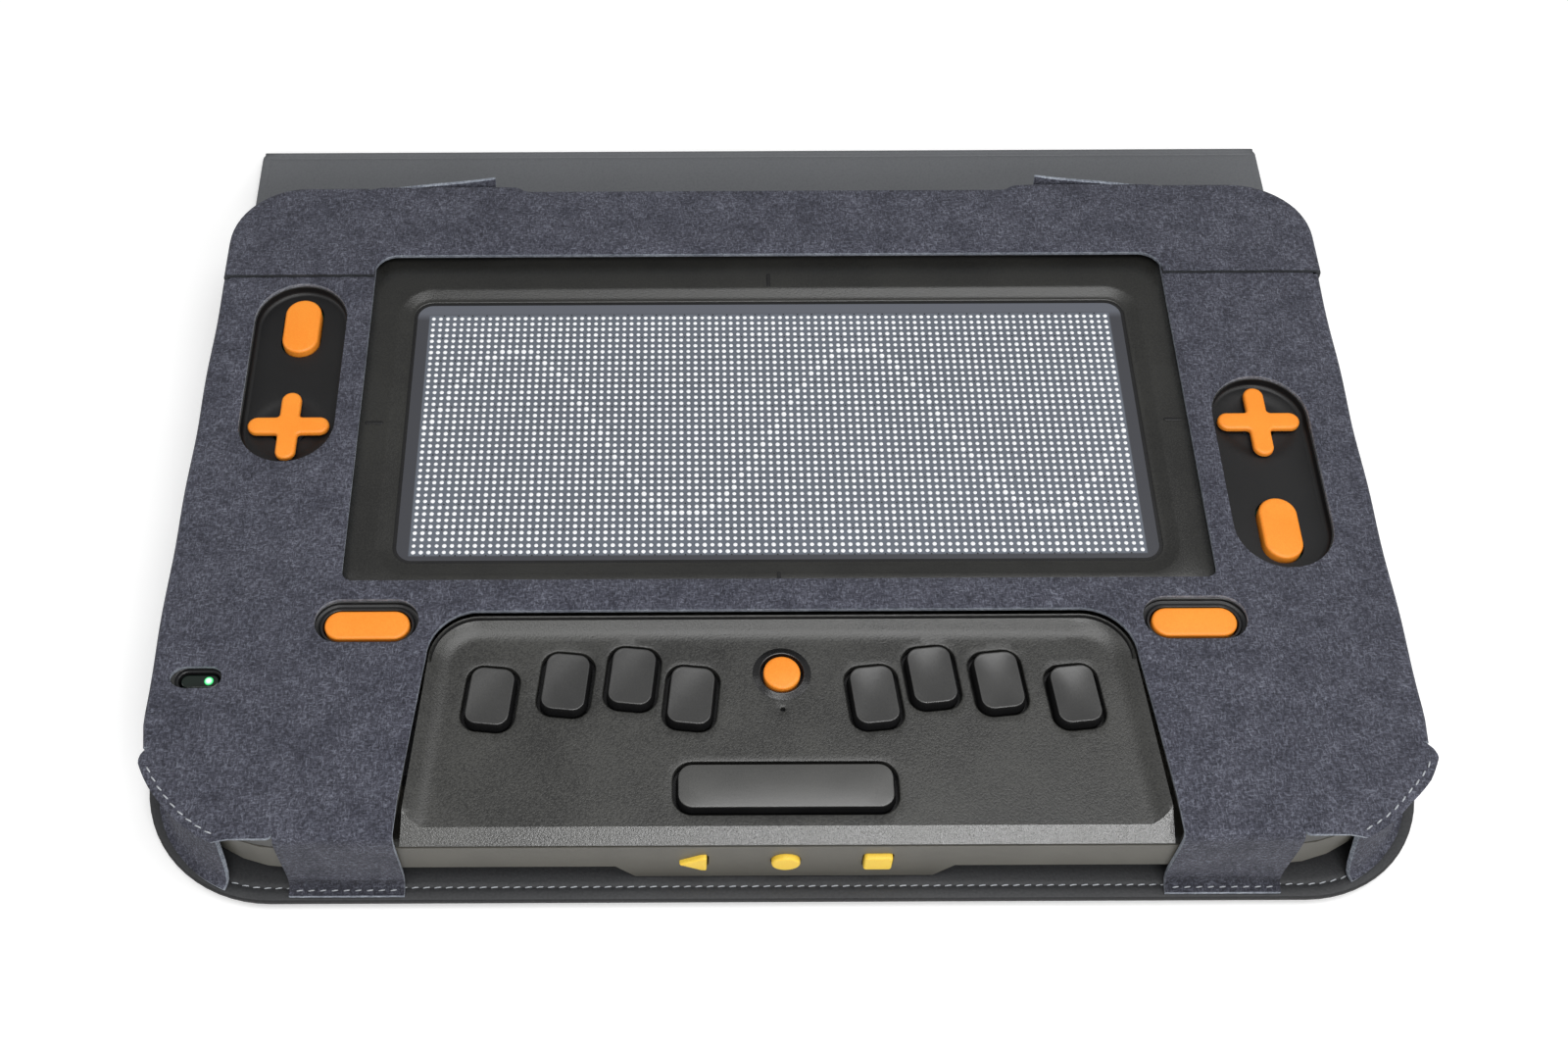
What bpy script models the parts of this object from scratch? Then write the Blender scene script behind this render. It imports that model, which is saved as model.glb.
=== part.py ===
"""Refreshable braille display in its folding felt case.

Origin: centre of the footprint, on the table. +X to the reader's right, +Y away from the reader,
+Z up. The case lies open: the spine panel is flat behind the device, the cover is folded under.
"""

import math

import bmesh
import bpy
from mathutils import Matrix, Vector

for leftover in list(bpy.data.objects):
    bpy.data.objects.remove(leftover)

mm = 0.001

# Clearances shared by the whole assembly
gap = 0.3 * mm
overrun = 1.0 * mm
weld_distance = 0.00001 * mm
smooth_limit = math.radians(32)

# Case boards: stiff core wrapped in leatherette
panel_thickness = 2.7 * mm
base_side_margin = 10.0 * mm
base_front_margin = 7.5 * mm
base_back_margin = 15.7 * mm
base_corner = 45.0 * mm
panel_inset = 4.0 * mm
panel_corner = 2.5 * mm
fold_gap = 0.6 * mm

# Device body
device_width = 384.0 * mm
device_depth = 252.0 * mm
device_height = 31.1 * mm
front_corner = 42.0 * mm
back_corner = 26.0 * mm
foot_stand = 1.0 * mm
shell_wall = 2.2 * mm
top_wall = 3.0 * mm

# Felt skin
felt = 1.6 * mm

# Pin field
pin_pitch = 2.5 * mm
pin_columns = 96
pin_rows = 40
pin_drop = 1.1 * mm
front_to_pins = 149.0 * mm
base_width = device_width + 2 * base_side_margin
base_depth = base_front_margin + device_depth + base_back_margin
panel_width = base_width - 2 * panel_inset

# Heights, from the table up
z_cover_top = panel_thickness
z_base = z_cover_top + gap
z_base_top = z_base + panel_thickness
z_device = z_base_top + foot_stand
z_top = z_device + device_height
z_felt = z_top + gap
z_felt_top = z_felt + felt
z_strip = z_felt_top + gap
z_strip_top = z_strip + felt
z_pins = z_top - pin_drop

# The standing spine has to carry the closed cover clear of the felt strip
closing_clearance = 1.2 * mm
fold_half = z_base - z_cover_top
z_fold_under = z_cover_top + fold_half / 2
fold_reach = gap
spine_depth = z_strip_top + closing_clearance + z_fold_under - z_base_top - fold_gap / 2 - fold_reach
cover_margin = panel_thickness + fold_half / 2 + fold_reach

# Places along Y
footprint_depth = base_depth + fold_gap + spine_depth
y_front = -footprint_depth / 2
y_base_back = y_front + base_depth
y_spine = y_base_back + fold_gap
y_spine_back = y_spine + spine_depth
y_fold_base = y_base_back + fold_gap / 2
y_fold_cover = y_spine_back + fold_reach
y_device = y_front + base_front_margin
y_pins = y_device + front_to_pins
y_device_back = y_device + device_depth
y_device_mid = (y_device + y_device_back) / 2


def material(name, colour, roughness=0.6, metallic=0.0):
    """A Principled material of one colour."""
    made = bpy.data.materials.get(name)
    if made:
        return made
    made = bpy.data.materials.new(name)
    made.use_nodes = True
    shader = made.node_tree.nodes["Principled BSDF"]
    shader.inputs["Base Color"].default_value = (*colour, 1.0)
    shader.inputs["Roughness"].default_value = roughness
    shader.inputs["Metallic"].default_value = metallic
    made.diffuse_color = (*colour, 1.0)
    return made


felt_grey = material("felt_grey", (0.065, 0.068, 0.088), 0.95)
leatherette = material("leatherette", (0.075, 0.076, 0.076), 0.6)
black_plastic = material("black_plastic", (0.035, 0.035, 0.035), 0.45)
grey_plastic = material("grey_plastic", (0.14, 0.135, 0.12), 0.5)
orange_plastic = material("orange_plastic", (1.0, 0.3, 0.03), 0.4)
yellow_plastic = material("yellow_plastic", (0.95, 0.55, 0.04), 0.4)
touch_film = material("touch_film", (0.07, 0.075, 0.09), 0.4)
pin_white = material("pin_white", (0.9, 0.9, 0.92), 0.4)
board_green = material("board_green", (0.02, 0.12, 0.05), 0.5)
battery_wrap = material("battery_wrap", (0.02, 0.02, 0.03), 0.4)
steel = material("steel", (0.6, 0.6, 0.6), 0.3, 1.0)
soft_rubber = material("soft_rubber", (0.02, 0.02, 0.02), 0.8)
lens_green = material("lens_green", (0.0, 0.5, 0.15), 0.2)


def arc(cx, cy, radius, start, end, steps):
    """Points on a circle from one angle to another, in degrees, both ends included."""
    turns = [math.radians(start + (end - start) * i / steps) for i in range(steps + 1)]
    return [(cx + radius * math.cos(t), cy + radius * math.sin(t)) for t in turns]


def box_outline(x0, x1, y0, y1, corner, steps=4):
    """A rectangle with round corners, anticlockwise from the front left corner."""
    return (
        arc(x0 + corner, y0 + corner, corner, 180, 270, steps)
        + arc(x1 - corner, y0 + corner, corner, 270, 360, steps)
        + arc(x1 - corner, y1 - corner, corner, 0, 90, steps)
        + arc(x0 + corner, y1 - corner, corner, 90, 180, steps)
    )


def centred_outline(width, depth, corner, cx=0, cy=0, steps=4):
    """A round-cornered rectangle about a centre."""
    return box_outline(cx - width / 2, cx + width / 2, cy - depth / 2, cy + depth / 2, corner, steps)


def pill_outline(length, width, cx=0, cy=0, upright=False, steps=8):
    """A slot shape: two half circles joined by straight sides."""
    reach = (length - width) / 2
    right = arc(reach, 0, width / 2, -90, 90, steps)
    left = arc(-reach, 0, width / 2, 90, 270, steps)
    points = right + left
    if upright:
        points = [(-y, x) for x, y in points]
    return [(cx + x, cy + y) for x, y in points]


def circle_outline(radius, cx=0, cy=0, steps=16):
    """A round outline without its doubled last point."""
    return arc(cx, cy, radius, 0, 360, steps)[:-1]


def turned(points, degrees, cx=0, cy=0):
    """Points turned about the origin, then moved to a centre."""
    c, s = math.cos(math.radians(degrees)), math.sin(math.radians(degrees))
    return [(cx + x * c - y * s, cy + x * s + y * c) for x, y in points]


def at_height(points, z):
    """An outline laid at one height."""
    return [Vector((x, y, z)) for x, y in points]


def loft(name, rings, finish=None):
    """A closed solid through rings of equal length, capped at both ends."""
    mesh = bpy.data.meshes.new(name)
    shape = bmesh.new()
    rows = [[shape.verts.new(p) for p in ring] for ring in rings]
    for low, high in zip(rows, rows[1:]):
        for i in range(len(low)):
            j = (i + 1) % len(low)
            shape.faces.new((low[i], low[j], high[j], high[i]))
    shape.faces.new(list(reversed(rows[0])))
    shape.faces.new(rows[-1])
    bmesh.ops.remove_doubles(shape, verts=shape.verts, dist=weld_distance)
    bmesh.ops.recalc_face_normals(shape, faces=shape.faces)
    shape.to_mesh(mesh)
    shape.free()
    mesh.shade_smooth()
    mesh.set_sharp_from_angle(angle=smooth_limit)
    made = bpy.data.objects.new(name, mesh)
    bpy.context.scene.collection.objects.link(made)
    if finish:
        mesh.materials.append(finish)
    return made


def prism(name, outline, low, high, finish=None):
    """An outline carried straight up."""
    return loft(name, [at_height(outline, low), at_height(outline, high)], finish)


def bar(name, x0, x1, profile, finish=None):
    """A (y, z) profile carried along X."""
    return loft(name, [[Vector((x, y, z)) for y, z in profile] for x in (x0, x1)], finish)


def block(name, x0, x1, y0, y1, z0, z1, finish=None):
    """A plain rectangular solid."""
    return bar(name, x0, x1, [(y0, z0), (y1, z0), (y1, z1), (y0, z1)], finish)


def across(name, outline, y0, y1, finish=None):
    """An (x, z) outline carried along Y."""
    return loft(name, [[Vector((x, y, z)) for x, z in outline] for y in (y0, y1)], finish)


def joined(name, pieces):
    """Several loose solids in one mesh, to cut or to add in one step."""
    mesh = bpy.data.meshes.new(name)
    shape = bmesh.new()
    for piece in pieces:
        shape.from_mesh(piece.data)
        bpy.data.objects.remove(piece)
    shape.to_mesh(mesh)
    shape.free()
    made = bpy.data.objects.new(name, mesh)
    bpy.context.scene.collection.objects.link(made)
    return made


def as_tool(tool):
    """A tool is a guide for a Boolean and is not part of the object."""
    tool.hide_render = True
    tool.display_type = "WIRE"
    tool.hide_set(True)


def combine(target, tool, operation):
    """One EXACT Boolean modifier, kept live on the target."""
    step = target.modifiers.new(operation.lower() + "_" + tool.name, "BOOLEAN")
    step.operation = operation
    step.solver = "EXACT"
    step.object = tool
    as_tool(tool)


def cut(target, tool):
    combine(target, tool, "DIFFERENCE")


def add(target, tool):
    combine(target, tool, "UNION")


def pivot(name, x, y, z):
    """An empty on a joint's axis."""
    made = bpy.data.objects.new(name, None)
    made.location = (x, y, z)
    bpy.context.scene.collection.objects.link(made)
    return made


def carried(piece, holder):
    """Hangs a piece on an empty without moving it."""
    piece.parent = holder
    piece.matrix_parent_inverse = Matrix.Translation(-Vector(holder.location))


def seat_origin(piece, x, y, z):
    """Moves a piece's origin to its joint's axis and leaves its shape where it is."""
    piece.data.transform(Matrix.Translation((-x, -y, -z)))
    piece.location = (x, y, z)


# Base board: the case's floor, with the device standing on it
base_arc_steps = 8
base_outline = (
    arc(-base_width / 2 + base_corner, y_front + base_corner, base_corner, 180, 270, base_arc_steps)
    + arc(base_width / 2 - base_corner, y_front + base_corner, base_corner, 270, 360, base_arc_steps)
    + arc(base_width / 2 - panel_corner, y_base_back - panel_corner, panel_corner, 0, 90, 3)
    + arc(-base_width / 2 + panel_corner, y_base_back - panel_corner, panel_corner, 90, 180, 3)
)
prism("base_board", base_outline, z_base, z_base_top, leatherette)

# Spine panel, hinged to the base's back edge by a fold of leatherette
spine_hinge = pivot("spine_hinge", 0, y_fold_base, z_base_top)
spine_outline = box_outline(-panel_width / 2, panel_width / 2, y_spine, y_spine_back, panel_corner, 3)
spine = prism("spine_panel", spine_outline, z_base, z_base_top, leatherette)
carried(spine, spine_hinge)

# Cover panel, hinged to the spine's far edge and folded away under the base
cover_hinge = pivot("cover_hinge", 0, y_fold_cover, z_fold_under)
y_cover_back = y_fold_cover - cover_margin
y_cover_front = y_cover_back - base_depth
cover_outline = (
    arc(-panel_width / 2 + base_corner, y_cover_front + base_corner, base_corner, 180, 270, base_arc_steps)
    + arc(panel_width / 2 - base_corner, y_cover_front + base_corner, base_corner, 270, 360, base_arc_steps)
    + arc(panel_width / 2 - panel_corner, y_cover_back - panel_corner, panel_corner, 0, 90, 3)
    + arc(-panel_width / 2 + panel_corner, y_cover_back - panel_corner, panel_corner, 90, 180, 3)
)
cover = prism("cover_panel", cover_outline, 0, z_cover_top, leatherette)
carried(cover, cover_hinge)

# Upper shell: the black top of the device
parting_drop = 8.8 * mm
z_parting = z_top - parting_drop
lip_land = 0.6 * mm
edge_bevel = 1.5 * mm
x_side = device_width / 2


def shell_ring(inset, z, bevel=0, slope=0):
    """The device's outline at one height, drawn in by a wall or an edge."""
    draw = inset + bevel
    x_in = x_side - draw
    y_low = y_device + draw + slope
    y_high = y_device_back - draw
    front = front_corner - inset
    back = back_corner - inset
    outline = (
        arc(-x_in + front, y_low + front, front, 180, 270, 8)
        + arc(x_in - front, y_low + front, front, 270, 360, 8)
        + arc(x_in - back, y_high - back, back, 0, 90, 6)
        + arc(-x_in + back, y_high - back, back, 90, 180, 6)
    )
    return at_height(outline, z)


z_land = z_parting + lip_land
front_slope = z_top - edge_bevel - z_land
upper_shell = loft(
    "upper_shell",
    [
        shell_ring(0, z_parting + gap / 2),
        shell_ring(0, z_land),
        shell_ring(0, z_top - edge_bevel, 0, front_slope),
        shell_ring(0, z_top, edge_bevel, front_slope),
    ],
    black_plastic,
)
z_ceiling = z_top - top_wall
ceiling_slope = z_ceiling - z_land + shell_wall
upper_hollow = loft(
    "upper_hollow",
    [
        shell_ring(shell_wall, z_parting - overrun),
        shell_ring(shell_wall, z_land - shell_wall / 2),
        shell_ring(shell_wall, z_ceiling, 0, ceiling_slope),
    ],
)

# Keyboard deck: a recess with sloping walls, open to the front, as wide as its row of keys
deck_drop = 4.1 * mm
z_deck = z_top - deck_drop
deck_floor = 2.2 * mm
deck_back = 73.5 * mm
key_width = 15.0 * mm
key_depth = 21.0 * mm
key_corner = 4.5 * mm
key_gap = 1.0 * mm
dish_radius = 9.8 * mm
dish_web = 11.183 * mm
inner_web = 3.382 * mm
middle_web = 5.748 * mm
outer_web = 8.387 * mm
side_web = 12.5 * mm
key_fourth = dish_radius + dish_web + key_width / 2
key_third = key_fourth + inner_web + key_width
key_second = key_third + middle_web + key_width
key_first = key_second + outer_web + key_width
key_across = (key_first, key_second, key_third, key_fourth)
deck_half_back = key_first + key_width / 2 + side_web
deck_flare = 5.0 * mm
deck_half_front = deck_half_back + deck_flare
deck_corner = 16.0 * mm
deck_slope = 7.0 * mm
y_deck_back = y_pins - deck_back


def deck_outline(inset):
    """The recess's plan: wider at the front, rounded at the back."""
    corner = deck_corner - inset / 2
    back = y_deck_back - inset
    half = deck_half_back - inset
    front = deck_half_front - inset
    y_out = y_device - overrun
    return (
        [(-front, y_out), (front, y_out)]
        + arc(half - corner, back - corner, corner, 0, 90, 6)
        + arc(-half + corner, back - corner, corner, 90, 180, 6)
    )


deck_block = prism("deck_block", deck_outline(-shell_wall), z_deck - deck_floor, z_top)
cut(upper_hollow, deck_block)
deck_cutter = loft(
    "deck_cutter",
    [at_height(deck_outline(deck_slope), z_deck), at_height(deck_outline(0), z_top)]
    + [at_height(deck_outline(0), z_top + overrun)],
)

# Side wells: pill-shaped recesses that hold a cross pad and an upright button
well_width = 32.0 * mm
well_length = 76.5 * mm
well_drop = 3.3 * mm
well_floor = 2.0 * mm
well_inset = 27.0 * mm
well_x = x_side - well_inset
pad_ahead = 2.2 * mm
well_shift = 21.6 * mm
z_well = z_top - well_drop
y_pad = y_pins + pad_ahead
well_places = {"left": (-well_x, y_pad + well_shift), "right": (well_x, y_pad - well_shift)}
well_blocks = joined(
    "well_blocks",
    [
        prism(
            "well_block",
            pill_outline(well_length + 2 * shell_wall, well_width + 2 * shell_wall, x, y, True),
            z_well - well_floor,
            z_top,
        )
        for x, y in well_places.values()
    ],
)
cut(upper_hollow, well_blocks)

# Screw posts moulded under the top, in the shell's corners
screw_inset = 20.0 * mm
screw_x = x_side - screw_inset
screw_front = 126.0 * mm
screw_back = 88.0 * mm
post_radius = 4.5 * mm
pilot_radius = 1.8 * mm
screw_places = [
    (sign * screw_x, y)
    for y in (y_pins - screw_front, y_pins + screw_back)
    for sign in (-1, 1)
]
post_sides = 12
upper_posts = joined(
    "upper_posts",
    [
        prism("post", circle_outline(post_radius, x, y, post_sides), z_parting + gap / 2, z_top)
        for x, y in screw_places
    ],
)
cut(upper_hollow, upper_posts)
cut(upper_shell, upper_hollow)
cut(upper_shell, deck_cutter)
well_cutters = joined(
    "well_cutters",
    [
        prism("well", pill_outline(well_length, well_width, x, y, True), z_well, z_top + overrun)
        for x, y in well_places.values()
    ],
)
cut(upper_shell, well_cutters)

# Display bezel: a thin plate let into the shell, with a sloping rim round the touch plate
bezel_thickness = 1.5 * mm
bezel_half_width = 143.0 * mm
bezel_front = 63.0 * mm
bezel_back = 76.0 * mm
bezel_corner = 4.0 * mm
rim_half_width = 131.0 * mm
rim_front = 56.0 * mm
rim_back = 58.5 * mm
rim_corner = 12.0 * mm
rim_slope = 5.0 * mm
touch_lap = 3.0 * mm
ledge = 4.0 * mm
z_bezel = z_top - bezel_thickness
bezel_outline = box_outline(
    -bezel_half_width, bezel_half_width, y_pins - bezel_front, y_pins + bezel_back, bezel_corner
)
bezel_pocket = prism(
    "bezel_pocket",
    box_outline(
        -bezel_half_width - gap,
        bezel_half_width + gap,
        y_pins - bezel_front - gap,
        y_pins + bezel_back + gap,
        bezel_corner + gap,
    ),
    z_bezel - gap,
    z_top + overrun,
)
cut(upper_shell, bezel_pocket)


def rim_outline(inset, steps=4):
    """The rim's plan, drawn in from its upper edge."""
    return box_outline(
        -rim_half_width + inset,
        rim_half_width - inset,
        y_pins - rim_front + inset,
        y_pins + rim_back - inset,
        rim_corner - inset,
        steps,
    )


display_opening = prism(
    "display_opening", rim_outline(rim_slope - touch_lap - gap), z_ceiling - overrun, z_top
)
cut(upper_shell, display_opening)
display_bezel = prism("display_bezel", bezel_outline, z_bezel, z_top, black_plastic)
rim_cutter = loft(
    "rim_cutter",
    [
        at_height(rim_outline(rim_slope), z_bezel - overrun),
        at_height(rim_outline(rim_slope), z_bezel),
        at_height(rim_outline(0), z_top),
        at_height(rim_outline(0), z_top + overrun),
    ],
)
cut(display_bezel, rim_cutter)

# Tick ribs that mark the middle of each side for the reader's fingers
tick_length = 5.5 * mm
tick_width = 1.2 * mm
tick_rise = 0.25 * mm
tick_y = y_pins + pad_ahead
tick_side = rim_half_width + tick_length / 2 + gap
tick_back = y_pins + rim_back + tick_length / 2 + gap
tick_front_length = 3.0 * mm
tick_front = y_pins - rim_front - tick_front_length / 2 - gap
tick_sink = bezel_thickness / 2
ticks = joined(
    "ticks",
    [
        block("tick", x - dx / 2, x + dx / 2, y - dy / 2, y + dy / 2, z_top - tick_sink, z_top + tick_rise)
        for x, y, dx, dy in (
            (-tick_side, tick_y, tick_length, tick_width),
            (tick_side, tick_y, tick_length, tick_width),
            (0, tick_back, tick_width, tick_length),
            (0, tick_front, tick_width, tick_front_length),
        )
    ],
)
add(display_bezel, ticks)

# Touch plate: the slate surface that the pins rise through
touch_thickness = 1.4 * mm
z_touch_top = z_bezel - gap
z_touch = z_touch_top - touch_thickness
touch_plate = prism(
    "touch_plate", rim_outline(rim_slope - touch_lap), z_touch, z_touch_top, touch_film
)

# Raised pins: the dots that show a sine curve stand on one comb and drop together when it clears
pin_side = 1.2 * mm
pin_travel = 0.7 * mm
comb_thickness = 0.6 * mm
comb_margin = 2.0 * mm
wave_rows = 14
wave_turns = 2
hole_side = pin_side + 2 * gap
x_first_pin = -(pin_columns - 1) / 2 * pin_pitch
y_first_pin = y_pins - (pin_rows - 1) / 2 * pin_pitch


def wave_row(column):
    """The row that the curve crosses in one column of pins."""
    share = column / (pin_columns - 1)
    return round((pin_rows - 1) / 2 + wave_rows * math.sin(2 * math.pi * wave_turns * share))


wave_pins = [
    (x_first_pin + column * pin_pitch, y_first_pin + wave_row(column) * pin_pitch)
    for column in range(pin_columns)
]


def square(cx, cy, side):
    """A square about a point."""
    half = side / 2
    return [(cx - half, cy - half), (cx + half, cy - half), (cx + half, cy + half), (cx - half, cy + half)]


pin_holes = joined(
    "pin_holes",
    [prism("hole", square(x, y, hole_side), z_touch - overrun, z_touch_top + overrun) for x, y in wave_pins],
)
cut(touch_plate, pin_holes)
z_comb_top = z_touch - gap
z_comb = z_comb_top - comb_thickness
comb_half_width = -x_first_pin + comb_margin
comb_half_depth = wave_rows * pin_pitch + comb_margin
raised_pins = block(
    "raised_pins",
    -comb_half_width,
    comb_half_width,
    y_pins - comb_half_depth,
    y_pins + comb_half_depth,
    z_comb,
    z_comb_top,
    pin_white,
)
comb_sink = comb_thickness / 2
add(
    raised_pins,
    joined(
        "pin_posts",
        [prism("post", square(x, y, pin_side), z_comb_top - comb_sink, z_pins) for x, y in wave_pins],
    ),
)
seat_origin(raised_pins, 0, y_pins, z_pins)

# Pin modules: each lifts two braille lines and plugs into the module board
module_count = 5
module_height = 11.0 * mm
module_foot = 3.0 * mm
module_foot_inset = 4.0 * mm
module_side = 120.5 * mm
module_pitch = pin_rows * pin_pitch / module_count
z_module_top = z_comb - pin_travel - gap
z_module = z_module_top - module_height
for index in range(module_count):
    y_low = y_pins - pin_rows * pin_pitch / 2 + index * module_pitch + gap / 2
    y_high = y_low + module_pitch - gap
    y_in, y_out = y_low + module_foot_inset, y_high - module_foot_inset
    z_foot = z_module + module_foot
    bar(
        "pin_module_%d" % (index + 1),
        -module_side,
        module_side,
        [
            (y_in, z_module),
            (y_out, z_module),
            (y_out, z_foot),
            (y_high, z_foot),
            (y_high, z_module_top),
            (y_low, z_module_top),
            (y_low, z_foot),
            (y_in, z_foot),
        ],
        battery_wrap,
    )

# Boards and battery under the modules
board = 1.6 * mm
module_board_margin = 3.0 * mm
z_module_board_top = z_module - gap
z_module_board = z_module_board_top - board
block(
    "module_board",
    -module_side - module_board_margin,
    module_side + module_board_margin,
    y_pins - pin_rows * pin_pitch / 2,
    y_pins + pin_rows * pin_pitch / 2,
    z_module_board,
    z_module_board_top,
    board_green,
)
floor_wall = 2.2 * mm
z_floor = z_device + floor_wall
battery_half_width = 75.0 * mm
battery_half_depth = 46.0 * mm
battery_corner = 4.0 * mm
prism(
    "battery_pack",
    centred_outline(2 * battery_half_width, 2 * battery_half_depth, battery_corner, 0, y_pins),
    z_floor + gap,
    z_module_board - gap,
    battery_wrap,
)
main_board_left = 82.0 * mm
main_board_right = 128.0 * mm
main_board_half_depth = 50.0 * mm
standoff_height = 2.4 * mm
standoff_radius = 2.5 * mm
standoff_inset = 6.0 * mm
z_main_board = z_floor + standoff_height + gap
z_main_board_top = z_main_board + board
main_board = block(
    "main_board",
    main_board_left,
    main_board_right,
    y_pins - main_board_half_depth,
    y_pins + main_board_half_depth,
    z_main_board,
    z_main_board_top,
    board_green,
)
chip_side = 16.0 * mm
chip_height = 1.5 * mm
chip_x = (main_board_left + main_board_right) / 2
add(
    main_board,
    block(
        "processor",
        chip_x - chip_side / 2,
        chip_x + chip_side / 2,
        y_pins - chip_side / 2,
        y_pins + chip_side / 2,
        z_main_board_top - board / 2,
        z_main_board_top + chip_height,
    ),
)

# Braille keys: four for each hand, turned a little towards the wrists, and a space bar
key_turn = 6.0
key_rise = 2.2 * mm
key_bevel = 0.8 * mm
key_travel = 1.8 * mm
key_flange = 0.9 * mm
key_flange_lap = 1.6 * mm
key_ahead = 101.2 * mm
key_arch = 6.8 * mm
key_arch_shares = (0.0, 0.72, 1.0, 0.0)
y_keys = y_pins - key_ahead
key_places = [
    (-across, y_keys + key_arch * arch_share)
    for across, arch_share in zip(key_across, key_arch_shares)
]
key_spots = [(x, y, -key_turn) for x, y in key_places]
key_spots += [(-x, y, key_turn) for x, y in reversed(key_places)]
space_width = 66.5 * mm
space_depth = 15.5 * mm
space_corner = 5.0 * mm
space_ahead = 131.8 * mm
space_y = y_pins - space_ahead
z_key_top = z_deck + key_rise
z_deck_under = z_deck - deck_floor
z_flange_top = z_deck_under - gap
z_flange = z_flange_top - key_flange


def button(name, outline_at, z_high, z_low, bevel, flange, lap, finish):
    """A cap with a bevelled rim, straight sides and a retaining flange under the deck."""
    rings = [
        at_height(outline_at(lap), z_low - flange),
        at_height(outline_at(lap), z_low),
        at_height(outline_at(0), z_low),
        at_height(outline_at(0), z_high - bevel),
        at_height(outline_at(-bevel), z_high),
    ]
    return loft(name, rings, finish)


def key_outline(width, depth, corner, turn, cx, cy):
    """Gives a key's outline grown or drawn in by a margin."""

    def grown(margin):
        points = centred_outline(width + 2 * margin, depth + 2 * margin, corner + margin)
        return turned(points, turn, cx, cy)

    return grown


deck_holes = []
for index, (x, y, turn) in enumerate(key_spots):
    shape = key_outline(key_width, key_depth, key_corner, turn, x, y)
    name = "key_%d" % (index + 1)
    key = button(name, shape, z_key_top, z_flange_top, key_bevel, key_flange, key_flange_lap, black_plastic)
    seat_origin(key, x, y, z_key_top)
    deck_holes.append(prism("hole", shape(key_gap), z_deck_under - overrun, z_deck + overrun))
space_shape = key_outline(space_width, space_depth, space_corner, 0, 0, space_y)
space_bar = button(
    "space_bar", space_shape, z_key_top, z_flange_top, key_bevel, key_flange, key_flange_lap, black_plastic
)
seat_origin(space_bar, 0, space_y, z_key_top)
deck_holes.append(prism("hole", space_shape(key_gap), z_deck_under - overrun, z_deck + overrun))

# Round centre button in its dish, with the microphone hole in front of it
centre_radius = 5.8 * mm
centre_ahead = 92.9 * mm
centre_y = y_pins - centre_ahead
dish_depth = 1.2 * mm
dish_floor_radius = 7.4 * mm
mic_ahead = 105.2 * mm
mic_y = y_pins - mic_ahead
mic_hole_radius = 0.7 * mm
mic_radius = 2.0 * mm
mic_height = 2.0 * mm
centre_rise = 0.8 * mm


def centre_outline(margin):
    return circle_outline(centre_radius + margin, 0, centre_y, 16)


centre_button = button(
    "centre_button",
    centre_outline,
    z_deck + centre_rise,
    z_flange_top,
    key_bevel,
    key_flange,
    key_flange_lap,
    orange_plastic,
)
seat_origin(centre_button, 0, centre_y, z_deck + centre_rise)
deck_holes.append(prism("hole", centre_outline(key_gap), z_deck_under - overrun, z_deck + overrun))
deck_holes.append(
    prism("hole", circle_outline(mic_hole_radius, 0, mic_y, 8), z_deck_under - overrun, z_deck + overrun)
)
cut(upper_shell, joined("deck_holes", deck_holes))
dish_cutter = loft(
    "dish_cutter",
    [
        at_height(circle_outline(dish_floor_radius, 0, centre_y, 20), z_deck - dish_depth),
        at_height(circle_outline(dish_radius, 0, centre_y, 20), z_deck),
        at_height(circle_outline(dish_radius, 0, centre_y, 20), z_deck + overrun),
    ],
)
cut(upper_shell, dish_cutter)
prism(
    "microphone",
    circle_outline(mic_radius, 0, mic_y, 12),
    z_deck_under - gap - mic_height,
    z_deck_under - gap,
    steel,
)

# Key board under the keys, on four bosses that hang from the deck
key_board_half = 104.0 * mm
key_board_back = 82.0 * mm
key_board_front = 141.5 * mm
z_key_board_top = z_flange - key_travel - gap
z_key_board = z_key_board_top - board
block(
    "key_board",
    -key_board_half,
    key_board_half,
    y_pins - key_board_front,
    y_pins - key_board_back,
    z_key_board,
    z_key_board_top,
    board_green,
)
boss_radius = 2.2 * mm
boss_inset = 4.0 * mm
boss_x = key_board_half - boss_inset
boss_sides = 8
hung_bosses = [
    prism(
        "boss",
        circle_outline(boss_radius, sign * boss_x, y, boss_sides),
        z_key_board_top + gap,
        z_deck_under + deck_floor / 2,
    )
    for sign in (-1, 1)
    for y in (y_pins - key_board_front + boss_inset, y_pins - key_board_back - boss_inset)
]

# Cross pads: each rocks both ways on a pivot under its stem
pad_reach = 13.9 * mm
pad_arm = 6.8 * mm
pad_rise = 0.7 * mm
pad_lift = 0.9 * mm
pad_bevel = 0.5 * mm
stem_radius = 4.0 * mm
stem_hole_radius = 6.2 * mm
pivot_radius = 5.0 * mm
pivot_thickness = 1.5 * mm
pad_tilt = 2.5
z_pad_top = z_top - pad_rise
z_pad = z_well + pad_lift
z_well_under = z_well - well_floor
pill_travel = 0.7 * mm
pill_flange = 0.8 * mm
z_pill_flange_top = z_well_under - gap
z_pad_board_top = z_pill_flange_top - pill_flange - pill_travel - gap
z_pivot = z_pad_board_top + gap
z_pivot_top = z_pivot + pivot_thickness
z_pad_axis = (z_pivot_top + z_pivot) / 2


def cross_outline(margin):
    """A plus sign with round arm ends, about the origin."""
    half = pad_arm / 2 + margin
    reach = pad_reach + margin
    points = []
    for quarter in range(4):
        arm = arc(reach - half, 0, half, -90, 90, 6) + [(half, half)]
        points += turned(arm, 90 * quarter)
    return points


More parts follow.
